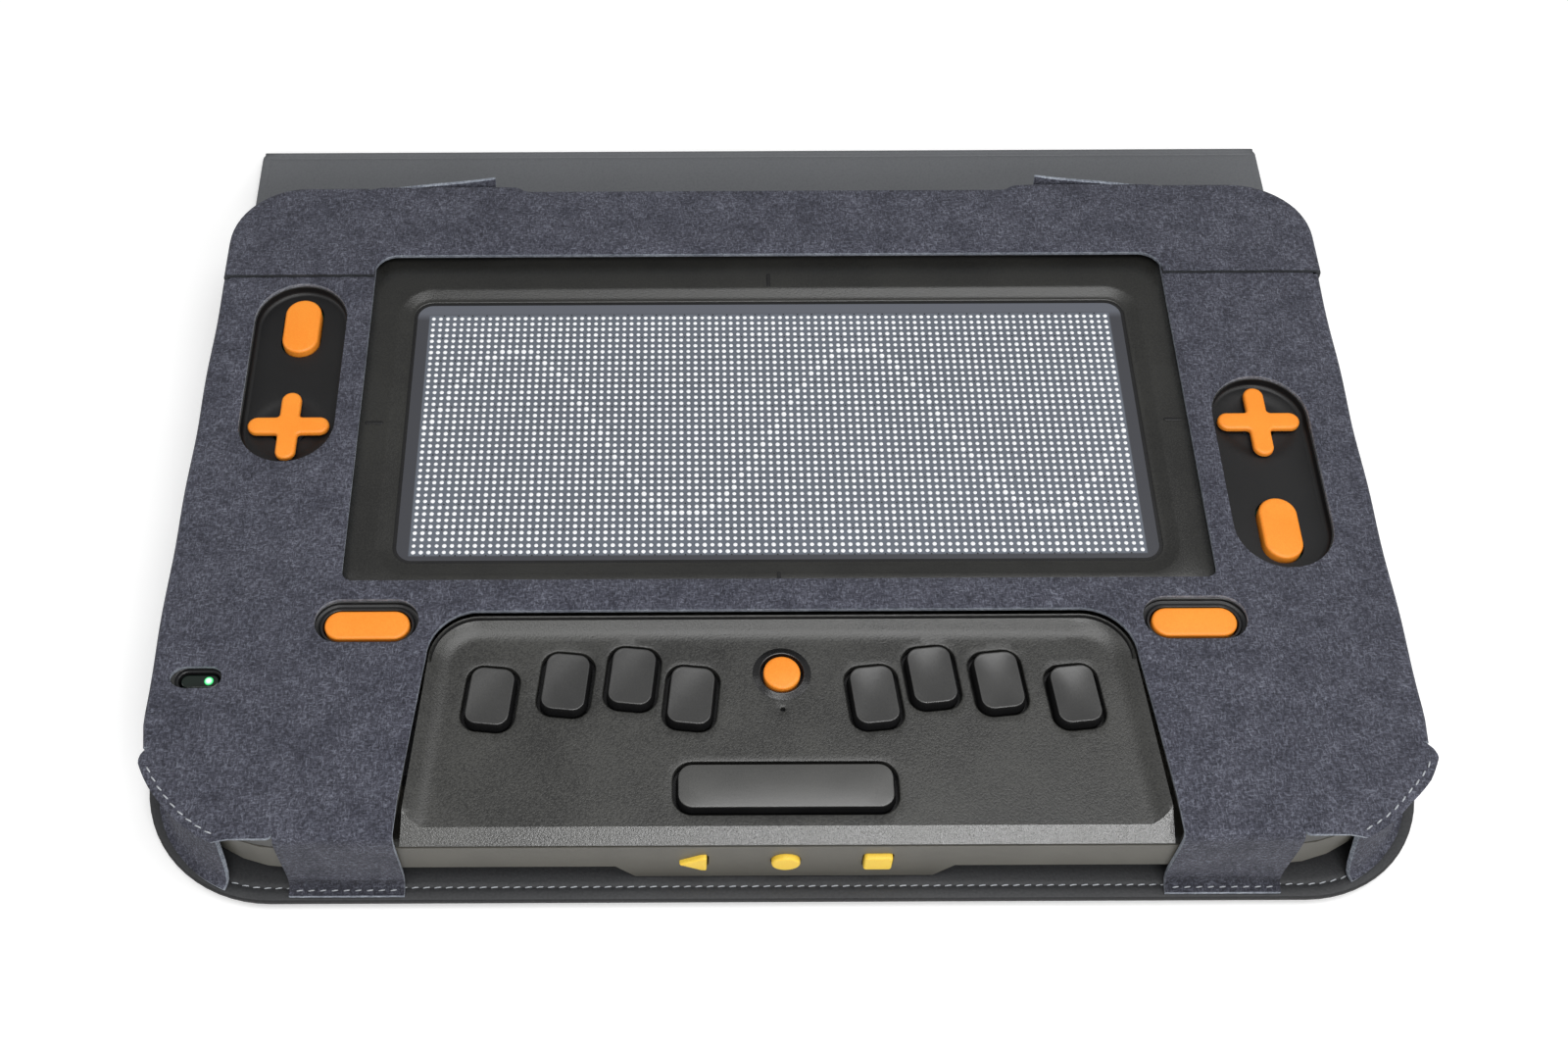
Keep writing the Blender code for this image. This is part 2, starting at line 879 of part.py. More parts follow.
pill_holes = []
for side, (well_at, _) in well_places.items():
    cross = [(well_at + x, y_pad + y) for x, y in cross_outline(0)]
    cross_top = [(well_at + x, y_pad + y) for x, y in cross_outline(-pad_bevel)]
    pad = loft(
        "cross_pad_" + side,
        [at_height(cross, z_pad), at_height(cross, z_pad_top - pad_bevel), at_height(cross_top, z_pad_top)],
        orange_plastic,
    )
    stem = prism(
        "stem_" + side,
        circle_outline(stem_radius, well_at, y_pad, 12),
        z_pivot_top + gap,
        z_pad + pad_bevel,
    )
    add(pad, stem)
    ring = prism(
        "pad_pivot_" + side,
        circle_outline(pivot_radius, well_at, y_pad, 16),
        z_pivot,
        z_pivot_top,
        grey_plastic,
    )
    seat_origin(pad, well_at, y_pad, z_pad_axis)
    seat_origin(stem, well_at, y_pad, z_pad_axis)
    seat_origin(ring, well_at, y_pad, z_pad_axis)
    stem_hole = circle_outline(stem_hole_radius, well_at, y_pad, 16)
    pill_holes.append(prism("hole", stem_hole, z_well_under - overrun, z_well + overrun))

# Upright pill buttons in the side wells, and the pad boards that carry their switches
pill_length = 23.5 * mm
pill_width = 12.6 * mm
pill_gap = 0.6 * mm
pill_shift = 43.2 * mm
pill_places = {"left": (-well_x, y_pad + pill_shift), "right": (well_x, y_pad - pill_shift)}
pad_board_half_width = 15.0 * mm
pad_board_half_length = 40.0 * mm


def pill_grown(cx, cy, upright):
    """Gives a pill button's outline grown or drawn in by a margin."""

    def grown(margin):
        return pill_outline(pill_length + 2 * margin, pill_width + 2 * margin, cx, cy, upright, 6)

    return grown


for side, (x, y) in pill_places.items():
    shape = pill_grown(x, y, True)
    pill = button(
        "pill_" + side,
        shape,
        z_pad_top,
        z_pill_flange_top,
        pad_bevel,
        pill_flange,
        key_flange_lap,
        orange_plastic,
    )
    seat_origin(pill, x, y, z_pad_top)
    pill_holes.append(prism("hole", shape(pill_gap), z_well_under - overrun, z_well + overrun))
cut(upper_shell, joined("pill_holes", pill_holes))
for side, (x, y) in well_places.items():
    block(
        "pad_board_" + side,
        x - pad_board_half_width,
        x + pad_board_half_width,
        y - pad_board_half_length,
        y + pad_board_half_length,
        z_pad_board_top - board,
        z_pad_board_top,
        board_green,
    )
    for sign in (-1, 1):
        for along in (-1, 1):
            hung_bosses.append(
                prism(
                    "boss",
                    circle_outline(
                        boss_radius,
                        x + sign * (pad_board_half_width - boss_radius),
                        y + along * (pad_board_half_length - boss_radius),
                        boss_sides,
                    ),
                    z_pad_board_top + gap,
                    z_ceiling + top_wall / 3,
                )
            )

# Lying pill buttons at the two front corners of the display
low_pill_length = 27.0 * mm
low_pill_width = 10.2 * mm
low_pill_away = 20.0 * mm
low_pill_x = deck_half_back + low_pill_away
low_pill_ahead = 76.8 * mm
low_pill_y = y_pins - low_pill_ahead
low_pill_rise = 0.3 * mm
z_low_pill_top = z_top + low_pill_rise
z_ceiling_under = z_ceiling - gap
low_holes = []
for side, sign in (("left", -1), ("right", 1)):

    def low_shape(margin, cx=sign * low_pill_x):
        length, width = low_pill_length + 2 * margin, low_pill_width + 2 * margin
        return pill_outline(length, width, cx, low_pill_y, False, 6)

    low = button(
        "low_pill_" + side,
        low_shape,
        z_low_pill_top,
        z_ceiling_under,
        key_bevel,
        pill_flange,
        key_flange_lap,
        orange_plastic,
    )
    seat_origin(low, sign * low_pill_x, low_pill_y, z_low_pill_top)
    low_holes.append(prism("hole", low_shape(pill_gap), z_ceiling - overrun, z_top + overrun))

# Status light: a dark pill-shaped lens in the top, at the left edge
lens_length = 12.6 * mm
lens_width = 5.4 * mm
lens_inset = 10.5 * mm
lens_x = lens_inset - x_side
lens_ahead = 96.2 * mm
lens_y = y_pins - lens_ahead
lens_drop = 1.0 * mm
lens_depth = 3.5 * mm
lens_outline = pill_outline(lens_length, lens_width, lens_x, lens_y, False, 6)
prism("status_lens", lens_outline, z_top - lens_drop - lens_depth, z_top - lens_drop, lens_green)
low_holes.append(
    prism(
        "hole",
        pill_outline(lens_length + 2 * gap, lens_width + 2 * gap, lens_x, lens_y, False, 6),
        z_ceiling - overrun,
        z_top + overrun,
    )
)
cut(upper_shell, joined("low_holes", low_holes))
add(upper_shell, joined("hung_bosses", hung_bosses))
pilot_depth = 6.0 * mm
z_pilot_top = z_parting + pilot_depth
cut(
    upper_shell,
    joined(
        "pilot_holes",
        [
            prism("pilot", circle_outline(pilot_radius, x, y, boss_sides), z_parting - overrun, z_pilot_top)
            for x, y in screw_places
        ],
    ),
)

# Lower shell: warm grey tub, undercut all round but for a lowered middle at the front
undercut = 7.8 * mm
undercut_inset = 8.0 * mm
z_undercut = z_device + undercut
z_lower_top = z_parting - gap / 2
lower_shell = loft(
    "lower_shell",
    [
        shell_ring(0, z_device, undercut_inset),
        shell_ring(0, z_undercut),
        shell_ring(0, z_lower_top),
    ],
    grey_plastic,
)
nose_half_low = 46.0 * mm
nose_half_high = 52.0 * mm
nose_back = 14.0 * mm
z_nose_top = z_undercut + overrun
nose = across(
    "nose",
    [
        (-nose_half_low, z_device),
        (nose_half_low, z_device),
        (nose_half_high, z_undercut),
        (nose_half_high, z_nose_top),
        (-nose_half_high, z_nose_top),
        (-nose_half_high, z_undercut),
    ],
    y_device,
    y_device + nose_back,
)
add(lower_shell, nose)
lower_hollow = loft(
    "lower_hollow",
    [
        shell_ring(shell_wall, z_floor, undercut_inset - floor_wall),
        shell_ring(shell_wall, z_undercut),
        shell_ring(shell_wall, z_parting + overrun),
    ],
)
z_standoff = z_floor + standoff_height
lower_posts = joined(
    "lower_posts",
    [
        prism("post", circle_outline(post_radius, x, y, post_sides), z_device, z_parting - gap / 2)
        for x, y in screw_places
    ]
    + [
        prism("standoff", circle_outline(standoff_radius, x, y, boss_sides), z_device, z_standoff)
        for x in (main_board_left + standoff_inset, main_board_right - standoff_inset)
        for y in (
            y_pins - main_board_half_depth + standoff_inset,
            y_pins + main_board_half_depth - standoff_inset,
        )
    ],
)
cut(lower_hollow, lower_posts)

# Case screws: pan heads in counterbores in the floor, driven up into the upper posts
screw_radius = 1.5 * mm
head_radius = 2.9 * mm
head_height = 2.0 * mm
counterbore = 3.0 * mm
screw_bite = 4.5 * mm
z_head = z_device + counterbore - head_height
screw_holes = []
for index, (x, y) in enumerate(screw_places):
    head = at_height(circle_outline(head_radius, x, y, post_sides), z_head)
    shoulder = at_height(circle_outline(head_radius, x, y, post_sides), z_head + head_height)
    neck = at_height(circle_outline(screw_radius, x, y, post_sides), z_head + head_height)
    tip = at_height(circle_outline(screw_radius, x, y, post_sides), z_parting + screw_bite)
    loft("case_screw_%d" % (index + 1), [head, shoulder, neck, tip], steel)
    bore = circle_outline(head_radius + gap, x, y, post_sides)
    shank = circle_outline(screw_radius + gap, x, y, post_sides)
    z_shelf = z_device + counterbore + gap
    screw_holes.append(
        loft(
            "screw_hole",
            [
                at_height(bore, z_device - overrun),
                at_height(bore, z_shelf),
                at_height(shank, z_shelf),
                at_height(shank, z_parting),
            ],
        )
    )
cut(lower_shell, lower_hollow)

# Feet: four rubber discs let into the floor
foot_radius = 7.0 * mm
foot_recess = 0.8 * mm
foot_inset = 42.0 * mm
foot_x = x_side - foot_inset
foot_front = 112.0 * mm
foot_back = 70.0 * mm
foot_places = [
    (sign * foot_x, y)
    for y in (y_pins - foot_front, y_pins + foot_back)
    for sign in (-1, 1)
]
for index, (x, y) in enumerate(foot_places):
    prism(
        "foot_%d" % (index + 1),
        circle_outline(foot_radius, x, y, 16),
        z_base_top + gap,
        z_device + foot_recess - gap,
        soft_rubber,
    )
    recess = circle_outline(foot_radius + gap, x, y, 16)
    screw_holes.append(prism("recess", recess, z_device - overrun, z_device + foot_recess))
cut(lower_shell, joined("screw_holes", screw_holes))

# Front buttons: triangle, round and square, pressed straight in
front_pitch = 28.0 * mm
front_height = 9.0 * mm
front_width = 8.6 * mm
front_round = 4.4 * mm
front_travel = 0.8 * mm
front_stub = 0.8 * mm
front_proud = front_travel + front_stub
front_flange = 1.0 * mm
front_flange_lap = 1.2 * mm
front_rise = 12.3 * mm
front_bevel = 0.6 * mm
z_front_buttons = z_device + front_rise
y_wall_inside = y_device + shell_wall


def softened(points, corner, steps=2):
    """Rounds the corners of a convex outline."""
    made = []
    count = len(points)
    for i, here in enumerate(points):
        here = Vector(here)
        before = (Vector(points[i - 1]) - here).normalized()
        after = (Vector(points[(i + 1) % count]) - here).normalized()
        half = before.angle(after) / 2
        reach = corner / math.tan(half)
        centre = here + (before + after).normalized() * corner / math.sin(half)
        first, last = here + before * reach, here + after * reach
        a0 = math.atan2(first.y - centre.y, first.x - centre.x)
        a1 = math.atan2(last.y - centre.y, last.x - centre.x)
        while a1 < a0:
            a1 += 2 * math.pi
        made += arc(centre.x, centre.y, corner, math.degrees(a0), math.degrees(a1), steps)
    return made


triangle_corner = 1.0 * mm
square_corner = 1.2 * mm
front_half = front_height / 2


def triangle_outline(margin):
    """An arrow head that points to the left, about its own middle."""
    points = [(-front_width / 2, 0), (front_width / 2, -front_half), (front_width / 2, front_half)]
    return grown_about(softened(points, triangle_corner), margin)


def round_outline(margin):
    return circle_outline(front_round + margin, 0, 0, 16)


def square_outline(margin):
    side = 2 * (front_round + margin)
    return centred_outline(side, side, square_corner + margin, 0, 0, 3)


def grown_about(points, margin):
    """Moves each point of a small convex outline outwards by a margin."""
    made = []
    count = len(points)
    for i, here in enumerate(points):
        along = Vector(points[(i + 1) % count]) - Vector(points[i - 1])
        out = Vector((along.y, -along.x)).normalized()
        made.append((here[0] + out.x * margin, here[1] + out.y * margin))
    return made


front_holes = []
for name, shape, x in (
    ("back_button", triangle_outline, -front_pitch),
    ("home_button", round_outline, 0),
    ("recent_button", square_outline, front_pitch),
):

    def ring_at(margin, y, shape=shape, x=x):
        return [Vector((x + px, y, z_front_buttons + pz)) for px, pz in shape(margin)]

    y_face = y_device - front_proud
    y_flange = y_wall_inside + gap
    front_button = loft(
        name,
        [
            ring_at(-front_bevel, y_face),
            ring_at(0, y_face + front_bevel),
            ring_at(0, y_flange),
            ring_at(front_flange_lap, y_flange),
            ring_at(front_flange_lap, y_flange + front_flange),
        ],
        yellow_plastic,
    )
    seat_origin(front_button, x, y_face, z_front_buttons)
    hole_rings = [ring_at(gap, y_device - overrun), ring_at(gap, y_wall_inside + overrun)]
    front_holes.append(loft("hole", hole_rings))
nose_relief_half = front_pitch + front_width
cut(
    lower_shell,
    block(
        "button_bay",
        -nose_relief_half,
        nose_relief_half,
        y_wall_inside,
        y_device + nose_back + overrun,
        z_floor,
        z_nose_top + overrun,
    ),
)

# Sockets and power button in the back wall, reached through the case's port cut-out
y_back_inside = y_device_back - shell_wall
socket_depth = 8.0 * mm
socket_wall = 0.6 * mm
socket_rise = 14.0 * mm
z_sockets = z_device + socket_rise


def socket(name, cx, width, height, corner):
    """A flanged sleeve that fills a hole in the back wall and is closed at its inner end."""
    outer = centred_outline(width, height, corner, cx, z_sockets, 3)
    inner = centred_outline(
        width - 2 * socket_wall, height - 2 * socket_wall, corner - socket_wall, cx, z_sockets, 3
    )
    y_mouth = y_device_back - gap
    y_end = y_mouth - socket_depth
    rings = [
        [Vector((x, y_end, z)) for x, z in outer],
        [Vector((x, y_mouth, z)) for x, z in outer],
        [Vector((x, y_mouth, z)) for x, z in inner],
        [Vector((x, y_end + socket_wall, z)) for x, z in inner],
    ]
    hole = centred_outline(width + 2 * gap, height + 2 * gap, corner + gap, cx, z_sockets, 3)
    front_holes.append(across("hole", hole, y_back_inside - overrun, y_device_back + overrun))
    return loft(name, rings, steel)


charge_x = -40.0 * mm
charge_width = 9.4 * mm
charge_height = 3.6 * mm
charge_corner = 1.7 * mm
host_x = -10.0 * mm
host_width = 14.0 * mm
host_height = 6.4 * mm
host_corner = 0.9 * mm
socket("charge_socket", charge_x, charge_width, charge_height, charge_corner)
socket("host_socket", host_x, host_width, host_height, host_corner)
power_x = 40.0 * mm
power_length = 14.0 * mm
power_width = 5.0 * mm
power_travel = 0.6 * mm
power_stub = 0.2 * mm
power_proud = power_travel + power_stub


def power_ring(margin, y):
    outline = pill_outline(power_length + 2 * margin, power_width + 2 * margin, power_x, z_sockets, False, 5)
    return [Vector((x, y, z)) for x, z in outline]


power_button = loft(
    "power_button",
    [
        power_ring(front_flange_lap, y_back_inside - gap - front_flange),
        power_ring(front_flange_lap, y_back_inside - gap),
        power_ring(0, y_back_inside - gap),
        power_ring(0, y_device_back + power_proud - front_bevel),
        power_ring(-front_bevel, y_device_back + power_proud),
    ],
    black_plastic,
)
seat_origin(power_button, power_x, y_device_back, z_sockets)
front_holes.append(
    loft("hole", [power_ring(gap, y_back_inside - overrun), power_ring(gap, y_device_back + overrun)])
)
cut(lower_shell, joined("front_holes", front_holes))

# Speaker, behind the left front corner
speaker_radius = 14.0 * mm
speaker_height = 7.0 * mm
speaker_x = -120.0 * mm
speaker_ahead = 105.0 * mm
speaker_y = y_pins - speaker_ahead
prism(
    "speaker",
    circle_outline(speaker_radius, speaker_x, speaker_y, 20),
    z_floor + gap,
    z_floor + gap + speaker_height,
    battery_wrap,
)

# Felt skin, front part: two side fields joined by a bridge, with tabs folded down at the front
felt_half = x_side + gap + felt
felt_front_reach = 1.9 * mm
y_felt_front = y_device - felt_front_reach
felt_corner = front_corner + gap + felt
seam_back = 65.0 * mm
seam_lap = 9.0 * mm
y_seam = y_pins + seam_back
y_under_strip = y_seam + seam_lap
window_half = 140.5 * mm
window_front = 60.2 * mm
bay_back = 72.6 * mm
bay_corner = 16.5 * mm
y_window = y_pins - window_front
y_bay = y_pins - bay_back
felt_top_outline = (
    arc(-felt_half + felt_corner, y_felt_front + felt_corner, felt_corner, 180, 270, 8)
    + [(-deck_half_front, y_felt_front)]
    + arc(-deck_half_back + bay_corner, y_bay - bay_corner, bay_corner, 180, 90, 6)
    + arc(deck_half_back - bay_corner, y_bay - bay_corner, bay_corner, 90, 0, 6)
    + [(deck_half_front, y_felt_front)]
    + arc(felt_half - felt_corner, y_felt_front + felt_corner, felt_corner, 270, 360, 8)
    + [(felt_half, y_seam), (x_side, y_seam), (x_side, y_under_strip), (window_half, y_under_strip)]
    + [(window_half, y_window), (-window_half, y_window)]
    + [(-window_half, y_under_strip), (-x_side, y_under_strip), (-x_side, y_seam), (-felt_half, y_seam)]
)
felt_top = prism("felt_top", felt_top_outline, z_felt, z_felt_top, felt_grey)
low_cut_length = 33.0 * mm
low_cut_width = 15.6 * mm
low_cut_shift = 0.6 * mm
lens_cut_length = 14.6 * mm
lens_cut_width = 7.6 * mm
well_cut_length = well_length + 2 * gap
well_cut_width = well_width + 2 * gap
felt_cuts = [
    prism("slot", pill_outline(well_cut_length, well_cut_width, x, y, True), z_felt - overrun, z_strip)
    for x, y in well_places.values()
]
felt_cuts += [
    prism(
        "slot",
        pill_outline(low_cut_length, low_cut_width, sign * low_pill_x, low_pill_y + low_cut_shift),
        z_felt - overrun,
        z_strip,
    )
    for sign in (-1, 1)
]
felt_cuts.append(
    prism("slot", pill_outline(lens_cut_length, lens_cut_width, lens_x, lens_y), z_felt - overrun, z_strip)
)
cut(felt_top, joined("felt_cuts", felt_cuts))

# Front tabs: the felt turns down over the front face and out on to the base's hem
tab_clear = 1.0 * mm
tab_inner = deck_half_front + tab_clear
tab_outer = 152.5 * mm
hem_margin = 1.2 * mm
z_foot_low = z_base_top + gap
z_foot_high = z_foot_low + felt
y_tab_inside = y_device - gap
y_tab_outside = y_tab_inside - felt
y_tab_foot = y_front + hem_margin
tab_profile = [
    (y_tab_inside, z_felt_top - felt / 4),
    (y_tab_outside, z_felt_top - felt / 4),
    (y_tab_outside, z_foot_high),
    (y_tab_foot, z_foot_high),
    (y_tab_foot, z_foot_low),
    (y_tab_inside, z_foot_low),
]
add(
    felt_top,
    joined(
        "front_tabs",
        [
            bar("tab", -tab_outer, -tab_inner, tab_profile),
            bar("tab", tab_inner, tab_outer, tab_profile),
        ],
    ),
)


# Side walls: felt bands that stand on a stitched foot and turn the corners
def band(name, path, inside, foot, z_high, finish):
    """A wall along a path of (x, y, outward x, outward y), with a foot turned outwards."""
    rings = []
    for x, y, ox, oy in path:
        section = [(0, z_foot_low), (foot, z_foot_low), (foot, z_foot_high), (felt, z_foot_high)]
        section += [(felt, z_high), (0, z_high)]
        if foot == 0:
            section = [(0, z_foot_low), (felt, z_foot_low), (felt, z_high), (0, z_high)]
        rings.append([Vector((x + ox * (inside + s), y + oy * (inside + s), z)) for s, z in section])
    return loft(name, rings, finish)


def path_round(cx, cy, radius, start, end, steps):
    """Path points round a corner, each with its outward direction."""
    turns = [math.radians(start + (end - start) * i / steps) for i in range(steps + 1)]
    return [(cx + radius * math.cos(t), cy + radius * math.sin(t), math.cos(t), math.sin(t)) for t in turns]


foot_reach = 7.5 * mm
wall_wrap = 63.0
corner_x = x_side - front_corner
y_corner_front = y_device + front_corner
z_wall_top = z_felt - gap
right_path = [(x_side, y_seam - gap, 1, 0)] + path_round(
    corner_x, y_corner_front, front_corner, 0, -wall_wrap, 8
)
left_path = [(-x, y, -ox, oy) for x, y, ox, oy in right_path]
band("felt_wall_right", right_path, gap, foot_reach, z_wall_top, felt_grey)
band("felt_wall_left", left_path, gap, foot_reach, z_wall_top, felt_grey)

# Rear flap: strip and back walls, hinged where the back walls meet the base
flap_back_clear = 4.5 * mm
port_half = 100.0 * mm
flap_corner = 26.0 * mm
y_back_wall = y_device_back + flap_back_clear
y_flap_hinge = y_back_wall + gap + felt
z_flap_hinge = z_foot_low
flap_hinge = pivot("flap_hinge", 0, y_flap_hinge, z_flap_hinge)
strip_window = 7.6 * mm
strip_corner = 8.0 * mm
strip_back_notch = 88.0 * mm
strip_back_step = 2.6 * mm
strip_half = felt_half + gap
y_strip_back = y_flap_hinge
y_strip_window = y_seam + strip_window
y_strip_notch = y_strip_back - strip_back_step
strip_outline = (
    [(-strip_half, y_seam), (-window_half, y_seam)]
    + arc(-window_half + strip_corner, y_strip_window - strip_corner, strip_corner, 180, 90, 4)[1:]
    + arc(window_half - strip_corner, y_strip_window - strip_corner, strip_corner, 90, 0, 4)[:-1]
    + [(window_half, y_seam), (strip_half, y_seam)]
    + arc(strip_half - flap_corner, y_strip_back - flap_corner, flap_corner, 0, 90, 6)
    + [(strip_back_notch + strip_back_step, y_strip_back), (strip_back_notch, y_strip_notch)]
    + [(-strip_back_notch, y_strip_notch), (-strip_back_notch - strip_back_step, y_strip_back)]
    + arc(-strip_half + flap_corner, y_strip_back - flap_corner, flap_corner, 90, 180, 6)
)
flap_strip = prism("flap_strip", strip_outline, z_strip, z_strip_top, felt_grey)
carried(flap_strip, flap_hinge)
flap_path = [(x_side, y_seam + gap, 1, 0)]
flap_path += path_round(x_side - flap_corner, y_back_wall - flap_corner, flap_corner, 0, 90, 6)
flap_path += [(port_half, y_back_wall, 0, 1)]
flap_wall_top = z_strip - gap
flap_right = band("flap_wall_right", flap_path, gap, 0, flap_wall_top, felt_grey)
flap_left = band(
    "flap_wall_left", [(-x, y, -ox, oy) for x, y, ox, oy in flap_path], gap, 0, flap_wall_top, felt_grey
)
carried(flap_right, flap_hinge)
carried(flap_left, flap_hinge)
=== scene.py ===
import math

import bmesh
import bpy
import numpy as np
from mathutils import Matrix, Vector
from mathutils.geometry import delaunay_2d_cdt


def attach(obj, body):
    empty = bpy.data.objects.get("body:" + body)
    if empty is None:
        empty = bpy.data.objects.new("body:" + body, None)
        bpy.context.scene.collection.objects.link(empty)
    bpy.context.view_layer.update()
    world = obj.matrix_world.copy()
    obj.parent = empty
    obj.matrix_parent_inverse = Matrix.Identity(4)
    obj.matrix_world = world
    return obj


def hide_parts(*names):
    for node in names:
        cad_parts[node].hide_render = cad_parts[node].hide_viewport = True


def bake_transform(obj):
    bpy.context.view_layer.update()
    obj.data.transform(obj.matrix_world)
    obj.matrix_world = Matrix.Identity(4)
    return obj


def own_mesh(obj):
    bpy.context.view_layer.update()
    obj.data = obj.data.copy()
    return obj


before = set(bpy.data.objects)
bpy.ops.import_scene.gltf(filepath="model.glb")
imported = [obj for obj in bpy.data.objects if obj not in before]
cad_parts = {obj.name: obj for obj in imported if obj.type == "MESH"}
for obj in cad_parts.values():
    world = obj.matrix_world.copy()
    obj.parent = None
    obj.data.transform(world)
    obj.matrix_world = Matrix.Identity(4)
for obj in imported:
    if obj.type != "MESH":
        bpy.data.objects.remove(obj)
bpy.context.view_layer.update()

mm = 0.001
scene = bpy.context.scene
scene.view_settings.view_transform = "Standard"


# Camera: it stands in front of the display and looks down on it at 57 degrees, a little left of
# the middle, with the lens of a short telephoto.
camera_place = (-0.029996, -0.373524, 0.551887)
camera_right = Vector((0.99998926, -0.00308302, -0.00345971))
camera_down = Vector((-0.00446937, -0.83891071, -0.54425071))
camera_ahead = Vector((-0.00122445, 0.54426033, -0.83891549))
camera_data = bpy.data.cameras.new("camera")
camera_data.sensor_width = 36.0
camera_data.lens = 42.946
camera_data.shift_x = 0.0643
camera_data.clip_start = 0.01
camera_data.clip_end = 20.0
camera = bpy.data.objects.new("camera", camera_data)
scene.collection.objects.link(camera)
camera_turn = Matrix((camera_right, -camera_down, -camera_ahead)).transposed()
camera.matrix_world = Matrix.Translation(camera_place) @ camera_turn.to_4x4()
scene.camera = camera


# Studio: a white sweep, one wide soft box overhead, a weaker one low in front, a soft glow all
# round. The sweep stays white behind the display and keeps its shadow.
sky_glow = 0.27
sky_white = 1.0
sweep_lift = 0.27
floor_reach = 3.0


def add_node(tree, kind, settings=(), **joined):
    """Adds a shader node, sets the sockets or fields in settings and joins the named sockets to
    an output, or to the first output of a node. A name such as _0 is the socket's number."""
    made = tree.nodes.new("ShaderNode" + kind)
    for key, value in dict(settings).items():
        if isinstance(key, int) or key in made.inputs:
            made.inputs[key].default_value = value
        else:
            setattr(made, key, value)
    for key, output in joined.items():
        socket = int(key[1:]) if key[1:].isdigit() else key.replace("_", " ")
        tree.links.new(getattr(output, "outputs", [output])[0], made.inputs[socket])
    return made


def add_noise(tree, spot, scale, detail, rough=0.5):
    """Adds a noise at a spot, with its scale, its detail and its roughness."""
    return add_node(
        tree, "TexNoise", {"Scale": scale, "Detail": detail, "Roughness": rough}, Vector=spot
    )


def set_sockets(shader, **values):
    """Sets the sockets of a shader to numbers, or joins them to nodes."""
    for name, value in values.items():
        socket = shader.inputs[name.replace("_", " ")]
        if isinstance(value, float):
            socket.default_value = value
        else:
            shader.id_data.links.new(getattr(value, "outputs", [value])[0], socket)


def tone(red, green, blue):
    """A colour as a picture stores it, 0 to 255, turned to the linear light that shaders use."""
    share = np.array((red, green, blue)) / 255.0
    linear = np.where(share <= 0.04045, share / 12.92, ((share + 0.055) / 1.055) ** 2.4)
    return (*linear.tolist(), 1.0)


def soft_box(name, place, aim, width, depth, power):
    """A rectangular area light at place that faces aim."""
    lamp = bpy.data.lights.new(name, "AREA")
    lamp.shape = "RECTANGLE"
    lamp.size = width
    lamp.size_y = depth
    lamp.energy = power
    holder = bpy.data.objects.new(name, lamp)
    scene.collection.objects.link(holder)
    facing = (Vector(aim) - Vector(place)).to_track_quat("-Z", "Y")
    holder.matrix_world = Matrix.Translation(place) @ facing.to_matrix().to_4x4()


soft_box("overhead_box", (0.1, -0.2, 1.3), (0.0, -0.04, 0.0), 1.3, 0.6, 9.2)
soft_box("front_box", (0.3, -1.08, 1.0), (0.0, -0.05, 0.0), 0.9, 0.3, 8.2)
soft_box("left_box", (-1.2, 0.0, 0.8), (0.0, 0.0, 0.0), 0.6, 0.6, 2.2)
soft_box("right_box", (1.2, -0.3, 0.8), (0.0, -0.05, 0.0), 0.6, 0.6, 3.4)

world = bpy.data.worlds.new("studio")
world.use_nodes = True
scene.world = world
world_tree = world.node_tree
world_tree.nodes.clear()
world_path = add_node(world_tree, "LightPath")
world_level = add_node(
    world_tree, "MapRange", {3: sky_glow, 4: sky_white}, _0=world_path.outputs["Is Camera Ray"]
)
world_light = add_node(world_tree, "Background", {0: (1.0, 1.0, 1.0, 1.0)}, Strength=world_level)
add_node(world_tree, "OutputWorld", (), Surface=world_light)

sweep = bpy.data.materials.new("white_sweep")
sweep.use_nodes = True
sweep_tree = sweep.node_tree
sweep_tree.nodes.clear()
sweep_spot = add_node(sweep_tree, "TexCoord")
sweep_noise = add_noise(sweep_tree, sweep_spot.outputs["Object"], 3.0, 2.0)
sweep_colour = add_node(
    sweep_tree, "MixRGB", {1: (0.86, 0.86, 0.855, 1.0), 2: (0.88, 0.88, 0.88, 1.0)}, Fac=sweep_noise
)
sweep_matte = add_node(sweep_tree, "BsdfDiffuse", (), Color=sweep_colour)
sweep_glow = add_node(sweep_tree, "Emission", {0: (1.0, 1.0, 1.0, 1.0), 1: sweep_lift})
sweep_both = add_node(sweep_tree, "AddShader", (), _0=sweep_matte, _1=sweep_glow)
sweep_path = add_node(sweep_tree, "LightPath")
sweep_pick = add_node(
    sweep_tree, "MixShader", (), _0=sweep_path.outputs["Is Camera Ray"], _1=sweep_matte,
    _2=sweep_both
)
add_node(sweep_tree, "OutputMaterial", (), Surface=sweep_pick)
floor_mesh = bpy.data.meshes.new("floor")
floor_mesh.from_pydata(
    [
        (-floor_reach, -floor_reach, 0.0), (floor_reach, -floor_reach, 0.0),
        (floor_reach, floor_reach, 0.0), (-floor_reach, floor_reach, 0.0)
    ],
    [], [(0, 1, 2, 3)]
)
floor_mesh.materials.append(sweep)
floor = bpy.data.objects.new("floor", floor_mesh)
scene.collection.objects.link(floor)


# Case base: a stiff board wrapped in leatherette, its hem turned over and sewn 4.6 mm inside the
# edge. The round front corners follow the display; the outer edge is a darker leatherette, partly
# its own dark edge and partly painted shade under the rim.
z_base = 3.0 * mm
y_front = -157.575 * mm
y_base_back = 117.625 * mm
base_half = 202.0 * mm
base_corner_left = 43.5 * mm
base_corner_right = 41.0 * mm
board_corner = 2.5 * mm
hem_inset = 4.6 * mm
z_hem_seam = 5.52 * mm
stitch_pitch = 3.5 * mm
stitch_length = 2.3 * mm
stitch_radius = 0.22 * mm


